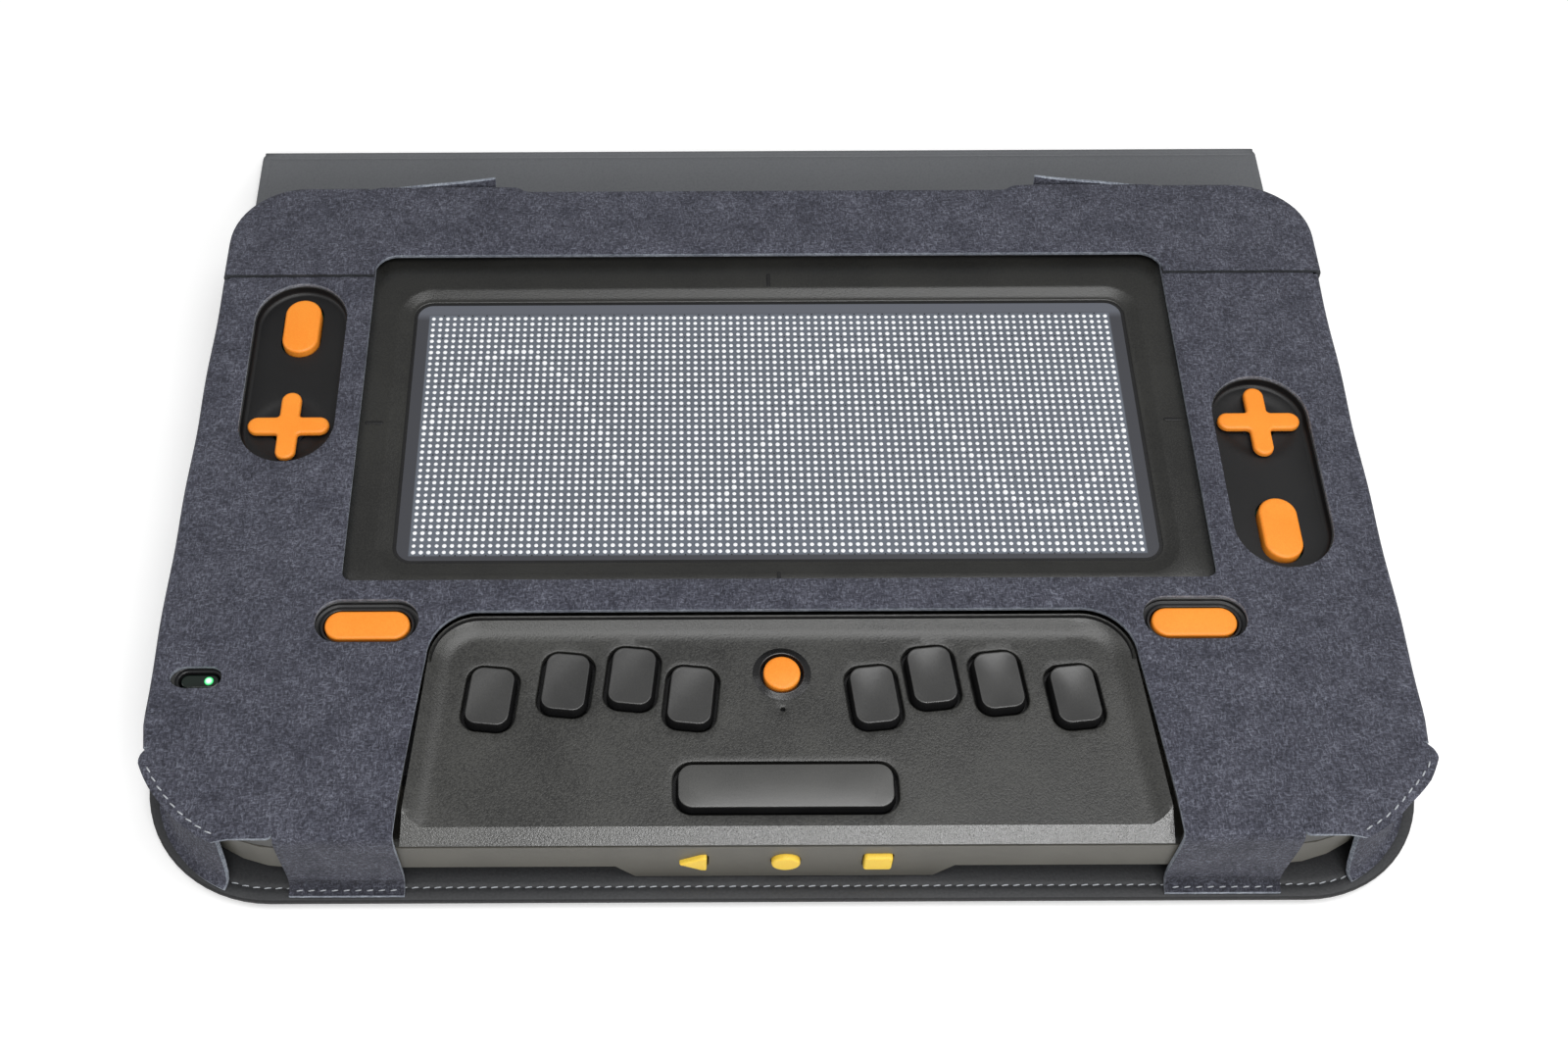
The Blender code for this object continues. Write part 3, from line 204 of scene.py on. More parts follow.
def arc_points(centre, radius, start, end, steps):
    """Points on a circle round centre, from the angle start to end, in degrees."""
    angle = np.radians(np.linspace(start, end, steps + 1))
    return np.stack([centre[0] + radius * np.cos(angle), centre[1] + radius * np.sin(angle)], 1)


def rounded_box(x_low, x_high, y_low, y_high, radii, steps=8):
    """A rectangle's outline, anticlockwise, each corner a quarter circle of its own radius, in
    the order front right, back right, back left, front left."""
    front_right, back_right, back_left, front_left = np.broadcast_to(radii, 4)
    return np.concatenate([
        arc_points((x_high - front_right, y_low + front_right), front_right, -90, 0, steps),
        arc_points((x_high - back_right, y_high - back_right), back_right, 0, 90, steps),
        arc_points((x_low + back_left, y_high - back_left), back_left, 90, 180, steps),
        arc_points((x_low + front_left, y_low + front_left), front_left, 180, 270, steps)
    ])


def distinct(path):
    """A closed outline without corners that repeat the one before."""
    step = np.linalg.norm(path - np.roll(path, 1, 0), axis=1)
    return path[step > 0.001 * mm]


def filled(path, longest):
    """A closed outline with points added along each side, so that none is longer than longest."""
    ahead = np.roll(path, -1, 0) - path
    count = np.maximum(1, np.ceil(np.linalg.norm(ahead, axis=1) / longest - 0.001).astype(int))
    owner = np.repeat(np.arange(len(path)), count)
    share = (np.arange(len(owner)) - np.repeat(np.cumsum(count) - count, count)) / count[owner]
    return path[owner] + share[:, None] * ahead[owner]


def bisectors(path, closed=True):
    """At each corner, the outward step that moves both its sides by one unit: the sum of the two
    side normals over one plus their dot product."""
    ahead = np.roll(path, -1, 0) - path
    if not closed:
        ahead[-1] = ahead[-2]
    ahead = ahead / np.linalg.norm(ahead, axis=1, keepdims=True)
    side = np.stack([ahead[:, 1], -ahead[:, 0]], 1)
    before = np.roll(side, 1, 0)
    if not closed:
        before[0] = side[0]
    return (side + before) / (1.0 + (side * before).sum(1, keepdims=True))


def carried(path, profile, closed=True):
    """A profile of (outset, height) pairs carried along an outline: one ring of points per pair,
    each corner moved out along its bisector."""
    profile = np.array(profile)
    flat = path[None] + profile[:, :1, None] * bisectors(path, closed)[None]
    height = np.broadcast_to(profile[:, 1, None, None], flat.shape[:2] + (1,))
    return np.concatenate([flat, height], 2)


def lifted(flat, height):
    """Flat points with a height each."""
    return np.concatenate([flat, np.broadcast_to(np.asarray(height, float), len(flat))[:, None]], 1)


def grid(x, y, z):
    """Rows of points from their three coordinates, each spread over the shape of the others."""
    return np.stack(np.broadcast_arrays(x, y, z), 2)


def board_rows(box, radii, profile, steps):
    """A board's rings of points: for each (outset, height) pair its rounded outline, moved by the
    outset, each corner's radius with it and never below a tenth of a millimetre."""
    rows = []
    for outset, height in profile:
        corners = np.maximum(np.broadcast_to(radii, 4) + outset, 0.1 * mm)
        x_low, x_high, y_low, y_high = np.array(box) + outset * np.array([-1, 1, -1, 1])
        rows.append(lifted(rounded_box(x_low, x_high, y_low, y_high, corners, steps), height))
    return np.array(rows)


def ring_faces(rows, closed=True, capped=False, turned=False):
    """Quads between each ring of points and the next, with a face over either end if capped, and
    all of them facing the other way if turned."""
    spot = np.arange(rows.shape[0] * rows.shape[1]).reshape(rows.shape[:2])
    after = np.roll(spot, -1, 1)
    if not closed:
        spot, after = spot[:, :-1], after[:, :-1]
    quads = np.stack([spot[:-1], after[:-1], after[1:], spot[1:]], 2).reshape(-1, 4).tolist()
    if capped:
        quads += [spot[0][::-1].tolist(), spot[-1].tolist()]
    return [quad[::-1] for quad in quads] if turned else quads


def new_piece(
    name, points, faces, materials, slots=None, sharp=30.0, turn_out=False, weld=0.0, body=None,
    stands_for=()
):
    """Makes a mesh object from points and faces, can turn a closed one's faces outwards, shades it
    smooth and keeps edges over the sharp angle crisp. Then it hides the CAD nodes that the piece
    stands for and hangs it on the body that carries it."""
    mesh = bpy.data.meshes.new(name)
    mesh.from_pydata(np.asarray(points, float).reshape(-1, 3).tolist(), [], faces)
    if slots is not None:
        mesh.polygons.foreach_set("material_index", np.asarray(slots, np.int32))
    if turn_out or weld:
        work = bmesh.new()
        work.from_mesh(mesh)
        if weld:
            bmesh.ops.remove_doubles(work, verts=work.verts, dist=weld)
        if turn_out:
            bmesh.ops.recalc_face_normals(work, faces=work.faces)
        work.to_mesh(mesh)
        work.free()
    for made in materials if isinstance(materials, (list, tuple)) else [materials]:
        mesh.materials.append(made)
    mesh.shade_smooth()
    mesh.set_sharp_from_angle(angle=math.radians(sharp))
    piece = bpy.data.objects.new(name, mesh)
    scene.collection.objects.link(piece)
    for node in stands_for:
        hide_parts(node)
    if body:
        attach(piece, body)
    return piece


def begin_material(name):
    """A new material with one Principled shader, and its tree and Object coordinates."""
    made = bpy.data.materials.new(name)
    made.use_nodes = True
    tree = made.node_tree
    tree.nodes.clear()
    shader = add_node(tree, "BsdfPrincipled")
    add_node(tree, "OutputMaterial", (), Surface=shader)
    spot = add_node(tree, "TexCoord").outputs["Object"]
    return made, tree, shader, spot


def add_mix(tree, low, high, share):
    """A blend of two colours, given 0 to 255."""
    return add_node(tree, "MixRGB", {1: tone(*low), 2: tone(*high)}, Fac=share)


def add_colour(shader, low, high, share):
    """Joins a blend of two colours to the shader's colour."""
    set_sockets(shader, Base_Color=add_mix(shader.id_data, low, high, share))


def add_range(tree, value, low, high, to_low, to_high):
    """A value's range low to high, stretched to to_low to to_high and held there."""
    return add_node(tree, "MapRange", {1: low, 2: high, 3: to_low, 4: to_high}, _0=value)


def add_bump(shader, height, depth, strength=1.0):
    """Joins a bump of the given depth in metres to the shader's normal."""
    fields = {"Strength": strength, "Distance": depth}
    set_sockets(shader, Normal=add_node(shader.id_data, "Bump", fields, Height=height))


def leatherette(name, colour, lift, depth=0.08 * mm):
    """Coated cloth: pebbled cells under a millimetre wide, valleys darker, slow rubbed patches."""
    made, tree, shader, spot = begin_material(name)
    cells = add_node(tree, "TexVoronoi", {"Scale": 1300.0, "feature": "SMOOTH_F1"}, Vector=spot)
    patch = add_noise(tree, spot, 26.0, 4.0)
    fine = add_noise(tree, spot, 5200.0, 2.0)
    both = add_node(
        tree, "Math", {"operation": "MULTIPLY_ADD", 1: 0.55, 2: 0.325}, _0=cells.outputs["Distance"]
    )
    mixed = add_node(tree, "Math", {"operation": "MULTIPLY_ADD", 1: 0.35}, _0=patch, _2=both)
    add_colour(shader, lift, colour, add_range(tree, mixed, 0.42, 1.0, 0.0, 1.0))
    set_sockets(shader, Roughness=add_range(tree, patch, 0.35, 0.65, 0.55, 0.61))
    high = add_node(
        tree, "Math", {"operation": "MULTIPLY_ADD", 1: -1.0}, _0=cells.outputs["Distance"], _2=fine
    )
    add_bump(shader, high, depth)
    return made


hem_leather = leatherette("leatherette_hem", (41, 42, 44), (56, 57, 59))
# The board's outer edge takes a darker copy of the leatherette: partly its own dark edge, partly
# painted shade under the rim.
edge_and_shade_leather = leatherette("leatherette_edge_and_shade", (22, 22, 24), (38, 38, 40))
base_profile = np.array([
    (-1.6, 3.0), (-0.7, 3.12), (-0.15, 3.55), (0.0, 4.2), (-0.12, 4.95), (-0.6, 5.5), (-1.3, 5.7),
    (-2.6, 5.76), (-3.9, 5.66), (-4.3, 5.42), (-4.6, 5.36), (-4.9, 5.42), (-5.3, 5.62), (-6.4, 5.7),
    (-7.6, 5.7)
]) * mm
base_rows = board_rows(
    (-base_half, base_half, y_front, y_base_back),
    (base_corner_right, board_corner, board_corner, base_corner_left), base_profile, 16
)
base_faces = ring_faces(base_rows, capped=True)
edge_rows = 5
base_slots = np.zeros(len(base_faces), np.int32)
base_slots[: edge_rows * base_rows.shape[1]] = 1
new_piece(
    "case_base", base_rows, base_faces, [hem_leather, edge_and_shade_leather], base_slots, body="device",
    stands_for=["base_board"]
)


# Hem stitches: white waxed thread, one lock stitch every 3.5 mm in a pressed line, sunk at both
# ends. They run along the front hem and round its two corners.
def along(path, pitch, margin):
    """Places every pitch along an open path and the direction of the path there."""
    step = np.linalg.norm(np.diff(path, axis=0), axis=1)
    length = np.concatenate([[0.0], np.cumsum(step)])
    count = int((length[-1] - 2 * margin) / pitch)
    where = margin + (np.arange(count) + 0.5) * (length[-1] - 2 * margin) / count
    place, after = [
        np.stack([np.interp(spots, length, path[:, axis]) for axis in range(path.shape[1])], 1)
        for spots in (where, where + 0.2 * mm)
    ]
    ahead = after - place
    return place, ahead / np.linalg.norm(ahead, axis=1, keepdims=True)


def joined(*parts):
    """One list of points and one of faces from several pairs of both, each numbered from 0."""
    points, faces, start = [], [], 0
    for rows, corners in parts:
        points.append(rows.reshape(-1, 3))
        faces += [[start + number for number in face] for face in corners]
        start += len(points[-1])
    return np.concatenate(points), faces


def thread_run(name, paths, length=stitch_length, radius=stitch_radius, slant=8.0):
    """Stitches along the paths: each is a bent rod of five rings of six points, thickest in its
    middle and sunk at both ends, turned a few degrees from the path."""
    place, ahead = zip(*[along(path, stitch_pitch, 0.5 * mm) for path in paths])
    place, ahead = np.concatenate(place), np.concatenate(ahead)
    across = np.cross((0.0, 0.0, 1.0), ahead)
    across /= np.linalg.norm(across, axis=1, keepdims=True)
    above = np.cross(ahead, across)
    cosine, sine = math.cos(math.radians(slant)), math.sin(math.radians(slant))
    ahead, across = ahead * cosine + across * sine, across * cosine - ahead * sine
    share = np.array([-1.0, -0.8, 0.0, 0.8, 1.0])[:, None, None]
    thick = radius * np.array([0.35, 0.85, 1.0, 0.85, 0.35])[:, None, None]
    lift = radius * np.array([-1.3, -0.35, 0.3, -0.35, -1.3])[:, None, None]
    angle = np.radians(np.arange(6) * 60.0)[:, None]
    place, ahead, across, above = [way[:, None, None] for way in (place, ahead, across, above)]
    rods = place + share * length / 2 * ahead
    rods = rods + thick * np.cos(angle) * across + (thick * np.sin(angle) + lift) * above
    points, faces = joined(*[(rod, ring_faces(rod, capped=True)) for rod in rods])
    new_piece(name, points, faces, thread, sharp=60.0, turn_out=True, body="device")


thread, thread_tree, thread_shader, thread_spot = begin_material("white_thread")
thread_noise = add_noise(thread_tree, thread_spot, 2400.0, 2.0)
add_colour(thread_shader, (112, 117, 124), (214, 217, 222), thread_noise)
add_bump(thread_shader, thread_noise, 0.1 * mm)
set_sockets(thread_shader, Roughness=0.7)
hem_turn = 62.0
hem_line = np.concatenate([
    arc_points(
        (-base_half + base_corner_left, y_front + base_corner_left), base_corner_left - hem_inset,
        270 - hem_turn, 270, 24
    ),
    arc_points(
        (base_half - base_corner_right, y_front + base_corner_right), base_corner_right - hem_inset,
        -90, hem_turn - 90, 24
    )
])
thread_run("hem_stitches", [lifted(hem_line, z_hem_seam)])


# Spine and cover: two more boards in the same leatherette. The spine lies flat behind the
# display, the cover is folded away under the base.
panel_half = 198.0 * mm
spine_span = (118.225 * mm, 157.575 * mm)
cover_span = (-120.475 * mm, 154.725 * mm)
spine_leather = leatherette("leatherette_spine", (92, 94, 97), (104, 106, 109), 0.05 * mm)
panel_profile = [
    (-1.5, 0.0), (-0.7, 0.12), (-0.15, 0.5), (0.0, 1.35), (-0.15, 2.2), (-0.7, 2.58), (-1.5, 2.7),
    (-2.6, 2.74), (-3.1, 2.55), (-3.6, 2.7), (-5.0, 2.7)
]


def case_panel(name, span, z_low, material, body):
    """A board with rounded wrapped edges and a pressed line along its rim."""
    profile = np.array(panel_profile) * mm + (0.0, z_low)
    rows = board_rows((-panel_half, panel_half, *span), board_corner, profile, 6)
    new_piece(
        name, rows, ring_faces(rows, capped=True), material, body=body,
        stands_for=[f"{body}_panel"]
    )


case_panel("case_spine", spine_span, z_base, spine_leather, "spine")
case_panel("case_cover", cover_span, 0.0, hem_leather, "cover")


# Folds: the leatherette runs on from board to board with no core in it, so each gap between two
# boards is a living hinge. One strip joins base and spine, one goes round the back to the cover.
fold_thickness = 0.5 * mm
fold_axis_base = (117.925 * mm, 5.7 * mm)
fold_axis_cover = (157.875 * mm, 2.85 * mm)


def fold_strip(name, track):
    """A strip as wide as the boards: a track of (y, z) points swept from left to right, with a
    wall of its own thickness."""
    across = np.linspace(-panel_half + 1.0 * mm, panel_half - 1.0 * mm, 60)
    points = grid(across, track[:, :1], track[:, 1:])
    strip = new_piece(name, points, ring_faces(points, closed=False), spine_leather, sharp=80.0)
    wall = strip.modifiers.new("wall", "SOLIDIFY")
    wall.thickness = fold_thickness
    wall.offset = 0.0
    return strip


fold_reach = 5.5 * mm
base_fold_y = fold_axis_base[0] + np.linspace(-fold_reach, fold_reach, 19)
base_fold_track = np.stack([base_fold_y, np.full(19, fold_axis_base[1] + 0.28 * mm)], 1)
base_fold = fold_strip("base_fold", base_fold_track)
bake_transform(base_fold)
cover_fold_radius = 2.6 * mm
cover_fold_swell = 0.9 * mm
cover_fold_angle = np.radians(np.linspace(90, -90, 17))
cover_fold_track = np.concatenate([
    [(fold_axis_cover[0] - 3.4 * mm, fold_axis_cover[1] + cover_fold_radius)],
    np.stack(
        [
            fold_axis_cover[0] - 0.4 * mm + cover_fold_swell * np.cos(cover_fold_angle),
            fold_axis_cover[1] + cover_fold_radius * np.sin(cover_fold_angle)
        ],
        1
    )
])
cover_fold = fold_strip("cover_fold", cover_fold_track)
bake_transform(cover_fold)


# Lower shell: a moulded tub in warm grey plastic with the button and socket openings. Its floor
# steps in all round and comes forward in a nose at the front; here its edges are rounded.
def moulded(name, low, high, mottle, grain, depth, rough, **fixed):
    """Moulded plastic: a blend of two close colours by slow and fine noise, a roughness that
    follows the slow noise, and the fine erosion texture of the mould as bump."""
    made, tree, shader, spot = begin_material(name)
    slow = add_noise(tree, spot, mottle, 3.0)
    fine = add_noise(tree, spot, grain, 2.0, 0.6)
    both = add_node(tree, "Math", {"operation": "MULTIPLY_ADD", 1: 0.5}, _0=slow, _2=fine)
    add_colour(shader, low, high, add_range(tree, both, 0.55, 0.95, 0.0, 1.0))
    set_sockets(shader, Roughness=add_range(tree, both, 0.6, 0.9, *rough))
    add_bump(shader, fine, depth)
    set_sockets(shader, **fixed)
    return made


def dressed_copy(node, name, material, body, edge=0.3 * mm, sharp=30.0):
    """A CAD solid's own shape with its doubles merged, its flat faces joined and its edges
    rounded; it stands for that solid."""
    source = bpy.data.objects[node]
    mesh = source.data.copy()
    mesh.materials.clear()
    work = bmesh.new()
    work.from_mesh(mesh)
    bmesh.ops.remove_doubles(work, verts=work.verts, dist=0.002 * mm)
    bmesh.ops.dissolve_limit(
        work, angle_limit=math.radians(1.0), verts=work.verts, edges=work.edges, delimit=set()
    )
    work.to_mesh(mesh)
    work.free()
    mesh.transform(source.matrix_world)
    mesh.materials.append(material)
    mesh.shade_smooth()
    mesh.set_sharp_from_angle(angle=math.radians(sharp))
    piece = bpy.data.objects.new(name, mesh)
    scene.collection.objects.link(piece)
    round_off = piece.modifiers.new("rounding", "BEVEL")
    round_off.width = edge
    round_off.segments = 2
    round_off.limit_method = "ANGLE"
    round_off.angle_limit = math.radians(sharp)
    round_off.use_clamp_overlap = True
    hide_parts(node)
    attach(piece, body)


grey_plastic = moulded(
    "warm_grey_plastic", (89, 87, 81), (104, 102, 95), 60.0, 3200.0, 0.03 * mm, (0.42, 0.55)
)
dressed_copy("lower_shell", "lower_tub", grey_plastic, "device")


# Upper shell rim and top: one moulding in fine textured black plastic. The rim rises from the
# parting line to a rounded top edge; the felt hides most of the flat top.
z_top = 37.8 * mm
z_deck = 33.7 * mm
z_deck_under = 31.5 * mm
z_chamfer = 30.55 * mm
y_chamfer = -145.4 * mm
y_device = -150.075 * mm
cut_slope = (z_deck - z_chamfer) / (y_chamfer - y_device)
y_device_back = 101.925 * mm
device_half = 192.0 * mm
front_corner = 42.0 * mm
back_corner = 26.0 * mm
bay_half = 117.0 * mm

black_plastic = moulded(
    "black_plastic", (34, 34, 33), (60, 60, 57), 40.0, 1700.0, 0.1 * mm, (0.31, 0.42),
    Specular_IOR_Level=0.75
)
smooth_black = moulded(
    "smooth_black_plastic", (24, 24, 25), (32, 32, 33), 50.0, 1800.0, 0.012 * mm, (0.36, 0.48)
)
device_outline = distinct(
    rounded_box(
        -device_half, device_half, y_device, y_device_back,
        (front_corner, back_corner, back_corner, front_corner), 14
    )
)
bay_edge = [
    (-bay_half - 0.5 * mm, y_device), (-bay_half, y_device), (bay_half, y_device),
    (bay_half + 0.5 * mm, y_device)
]
rim_path = np.concatenate([device_outline, bay_edge])
rim_profile = np.array([
    (-3.0, 28.95), (-1.6, 28.95), (-1.6, 30.15), (-0.3, 30.2), (0.0, 30.4), (0.0, 36.4),
    (-0.12, 37.0), (-0.45, 37.5), (-0.95, 37.76), (-1.6, 37.8)
]) * mm
rim_rows = carried(rim_path, rim_profile)
rim_low = (np.abs(rim_path[:, 0]) <= bay_half) & (rim_path[:, 1] < y_device + 0.1 * mm)
rim_rows[5:, rim_low, 2] = z_chamfer
rim_rows[5:, rim_low, 1] = y_device
new_piece(
    "shell_rim", rim_rows, ring_faces(rim_rows), black_plastic, body="device"
)


def inside(points, path):
    """Which points lie inside a closed outline: a ray to the left crosses it an odd number of
    times."""
    start, end = path[None], np.roll(path, -1, 0)[None]
    x, y = points[:, 0, None], points[:, 1, None]
    spans = (start[..., 1] > y) != (end[..., 1] > y)
    rise = np.where(end[..., 1] == start[..., 1], 1.0, end[..., 1] - start[..., 1])
    cross = start[..., 0] + (y - start[..., 1]) / rise * (end[..., 0] - start[..., 0])
    return (spans & (x < cross)).sum(1) % 2 == 1


def reach(points, path, closed=True):
    """Each point's distance to the nearest side of an outline."""
    start = path if closed else path[:-1]
    ahead = (np.roll(path, -1, 0) if closed else path[1:]) - start
    length = np.maximum((ahead**2).sum(1), 1e-18)
    nearest = np.full(len(points), 1e9)
    for first in range(0, len(points), 4000):
        part = points[first : first + 4000]
        away = part[:, None] - start[None]
        share = np.clip((away * ahead[None]).sum(2) / length[None], 0.0, 1.0)
        gap = away - share[..., None] * ahead[None]
        nearest[first : first + 4000] = np.sqrt((gap**2).sum(2).min(1))
    return nearest


def plate(outer, holes, spacing, bands=(), extra=(), creases=()):
    """A flat sheet of triangles inside an outline and outside its holes: the outlines, rings at
    the distances in bands from them, extra points and a staggered grid, joined by Delaunay's
    rule. The outline points come first, hole by hole, in their own order."""
    fixed = [outer, *holes]
    sides, start = [], 0
    for loop in fixed:
        number = np.arange(len(loop))
        sides.append(np.stack([start + number, start + (number + 1) % len(loop)], 1))
        start += len(loop)
    for crease in creases:
        number = np.arange(len(crease) - 1)
        sides.append(np.stack([start + number, start + number + 1], 1))
        fixed.append(crease)
        start += len(crease)
    free = list(extra)
    for loop, turn in [(outer, -1.0)] + [(hole, 1.0) for hole in holes]:
        for distance in bands:
            free.append(loop + turn * distance * bisectors(loop))
    low, high = outer.min(0), outer.max(0)
    if spacing:
        rows = np.arange(low[1] + spacing / 2, high[1], spacing * 0.866)
        columns = np.arange(low[0] + spacing / 2, high[0], spacing)
        lattice = np.stack(np.meshgrid(columns, rows), 2)
        lattice[1::2, :, 0] += spacing / 2
        free.append(lattice.reshape(-1, 2))
    points = np.concatenate(free) if free else np.zeros((0, 2))
    keep = inside(points, outer)
    clear = (bands[-1] if bands else 0.0) + 0.45 * spacing
    gaps = reach(points, outer)
    for hole in holes:
        keep &= ~inside(points, hole)
        gaps = np.minimum(gaps, reach(points, hole))
    for crease in creases:
        keep &= reach(points, crease, closed=False) > 0.7 * mm
    lattice_from = len(points) - (lattice.size // 2 if spacing else 0)
    wanted = np.full(len(points), 0.6 * (bands[0] if bands else 0.0))
    wanted[lattice_from:] = clear
    keep &= gaps > wanted
    every = np.concatenate(fixed + [points[keep]])
    found = delaunay_2d_cdt(
        [Vector(point) for point in every.tolist()], np.concatenate(sides).tolist(), [], 1, 1e-7,
        True
    )
    flat = np.array([tuple(point) for point in found[0]])
    faces = np.array([face for face in found[2] if len(face) == 3])
    middle = flat[faces].mean(1)
    shown = inside(middle, outer)
    for hole in holes:
        shown &= ~inside(middle, hole)
    faces = faces[shown]
    edge_one = flat[faces[:, 1]] - flat[faces[:, 0]]
    edge_two = flat[faces[:, 2]] - flat[faces[:, 0]]
    turned = edge_one[:, 0] * edge_two[:, 1] - edge_one[:, 1] * edge_two[:, 0] < 0
    faces[turned] = faces[turned][:, ::-1]
    used = np.unique(faces)
    number = np.full(len(flat), -1)
    number[used] = np.arange(len(used))
    return flat[used], number[faces]


def box_round(centre, half, radius, steps):
    """A rounded box round a centre, from half its width and depth, without repeated corners."""
    return distinct(
        rounded_box(
            centre[0] - half[0], centre[0] + half[0], centre[1] - half[1], centre[1] + half[1],
            radius, steps
        )
    )


def stadium(centre, along_x, along_y, steps=12):
    """A box whose short ends are half circles, anticlockwise."""
    return box_round(centre, (along_x / 2, along_y / 2), min(along_x, along_y) / 2, steps)


well_width = 32.0 * mm
well_length = 76.5 * mm
well_spots = {"left": (-165.0 * mm, 22.725 * mm), "right": (165.0 * mm, -20.475 * mm)}
cross_y = 1.125 * mm
pill_spots = {"left": (-165.0 * mm, 44.325 * mm), "right": (165.0 * mm, -42.075 * mm)}
low_pill_spots = {"left": (-131.0 * mm, -77.875 * mm), "right": (131.0 * mm, -77.875 * mm)}
low_pill_size = (27.0 * mm, 10.2 * mm)
low_seat_size = (34.4 * mm, 17.0 * mm)
lens_spot = (-181.5 * mm, -97.275 * mm)
lens_size = (12.6 * mm, 5.4 * mm)
lens_seat_size = (15.6 * mm, 8.6 * mm)
bezel_half = 143.0 * mm
bezel_span = (-64.075 * mm, 74.925 * mm)
bezel_corner = 4.0 * mm

deck_back_half = 111.0 * mm
deck_front_half = 116.0 * mm
deck_corner = 16.0 * mm
deck_slope = 7.0 * mm
y_deck_back = -74.575 * mm


def deck_line(grow=0.0, steps=16):
    """The keyboard bay's rim from the front left round the back to the front right."""
    corner = deck_corner + grow / 2
    back, half, front = y_deck_back + grow, deck_back_half + grow, deck_front_half + grow
    return np.concatenate([
        [(-front, y_device)], arc_points((-half + corner, back - corner), corner, 180, 90, steps),
        arc_points((half - corner, back - corner), corner, 90, 0, steps), [(front, y_device)]
    ])


groove_width = 1.1 * mm
groove_line = deck_line(groove_width)
groove_ends = groove_line[[0, -1]] * (1.0, 0.0) + (0.0, y_device + 1.6 * mm)
top_outline = carried(device_outline, [(-1.6 * mm, z_top)])[0][:, :2]
shell_outline = np.concatenate([groove_ends[:1], groove_line[1:-1], groove_ends[1:], top_outline])
shell_holes = [
    distinct(rounded_box(-bezel_half, bezel_half, *bezel_span, bezel_corner, 5)),
    *[stadium(spot, well_width, well_length) for spot in well_spots.values()],
    *[stadium(spot, *low_seat_size) for spot in low_pill_spots.values()],
    stadium(lens_spot, *lens_seat_size, steps=8)
]
shell_flat, shell_faces = plate(shell_outline, shell_holes, 0.0)
new_piece(
    "shell_top", lifted(shell_flat, z_top), shell_faces.tolist(), black_plastic, body="device",
    stands_for=["upper_shell"]
)


# Keyboard deck: the sunken front of the upper shell. Its walls slope down through a hollow fillet
# to a flat deck, its front edge is cut off at 34 degrees. Each key has its own opening with a
# rounded lip, and a lining closes the view into the openings.
groove_depth = 3.2 * mm
lip_radius = 0.55 * mm
hole_gap = 1.0 * mm
key_size = (15.0 * mm, 21.0 * mm)
key_corner = 4.5 * mm
key_spots = (
    (-91.0, -102.275, -6.0), (-67.613, -97.379, -6.0), (-46.865, -95.475, -6.0),
    (-28.483, -102.275, -6.0), (28.483, -102.275, 6.0), (46.865, -95.475, 6.0),
    (67.613, -97.379, 6.0), (91.0, -102.275, 6.0)
)
space_spot = (0.0, -132.875 * mm)
space_size = (66.5 * mm, 15.5 * mm)
space_corner = 5.0 * mm
centre_spot = (0.0, -93.975 * mm)
centre_radius = 5.8 * mm
collar_profile = [
    (9.3, 33.3), (9.25, 33.72), (9.1, 33.82), (7.45, 34.36), (7.3, 34.46), (7.1, 34.48),
    (6.9, 34.4), (6.8, 34.2), (6.8, 31.5)
]
mic_spot = (0.0, -106.275 * mm)
mic_radius = 0.7 * mm
lining_box = (-112.0 * mm, 112.0 * mm, -144.0 * mm, -80.0 * mm)
z_lining = 29.2 * mm


def spin(degrees):
    """The matrix that turns flat points anticlockwise by an angle, as points times matrix."""
    turn = math.radians(degrees)
    return np.array([[math.cos(turn), math.sin(turn)], [-math.sin(turn), math.cos(turn)]])


def key_outline(spot, grow=0.0, steps=7):
    """A key's rounded outline at its place, turned by its own angle and grown by a distance."""
    half = np.array(key_size) / 2 + grow
    path = box_round((0.0, 0.0), half, key_corner + grow, steps)
    return path @ spin(spot[2]) + np.array(spot[:2]) * mm


def circle(spot, radius, count):
    """A circle's outline, anticlockwise."""
    return arc_points(spot, radius, 0, 360 - 360 / count, count - 1)


def space_outline(grow=0.0):
    """The space bar's rounded outline grown by a distance."""
    return box_round(space_spot, np.array(space_size) / 2 + grow, space_corner + grow, 7)


deck_holes = [filled(key_outline(spot, hole_gap), 2.0 * mm) for spot in key_spots]
deck_holes.append(filled(space_outline(hole_gap), 2.0 * mm))
deck_holes.append(circle(centre_spot, centre_radius + hole_gap, 40))
deck_holes.append(circle(mic_spot, mic_radius, 16))
wall_share = np.linspace(0.0, 1.0, 57)
wall_angle = np.interp(
    wall_share, (0.0, 0.34, 0.46, 0.8, 0.9, 1.0), (38.0, 34.0, 22.0, 19.0, 8.0, 0.0)
)
wall_step = np.tan(np.radians(wall_angle)) * deck_slope / 56
wall_rise = np.cumsum((wall_step[::-1] + np.roll(wall_step[::-1], 1)) / 2) - wall_step[-1] / 2
wall_rise = wall_rise[::-1]


def wall_height(distance):
    """The bay wall's height at a distance from its rim: it falls at 38 degrees, then at 20, and
    rounds off into the deck. The angles are summed up to heights."""
    return z_deck + np.interp(distance / deck_slope, wall_share, wall_rise)


def deck_height(flat):
    """Wall: its own curve of the distance to the rim. Front: the lower of that and the cut. Lips:
    a quarter round taken off."""
    height = wall_height(reach(flat, wall_line, closed=False))
    height = np.minimum(height, z_chamfer + (flat[:, 1] - y_device) * cut_slope)
    for hole in deck_holes:
        near = lip_radius - np.clip(reach(flat, hole), 0.0, lip_radius)
        height = height - (lip_radius - np.sqrt(np.maximum(lip_radius**2 - near**2, 0.0)))
    return height


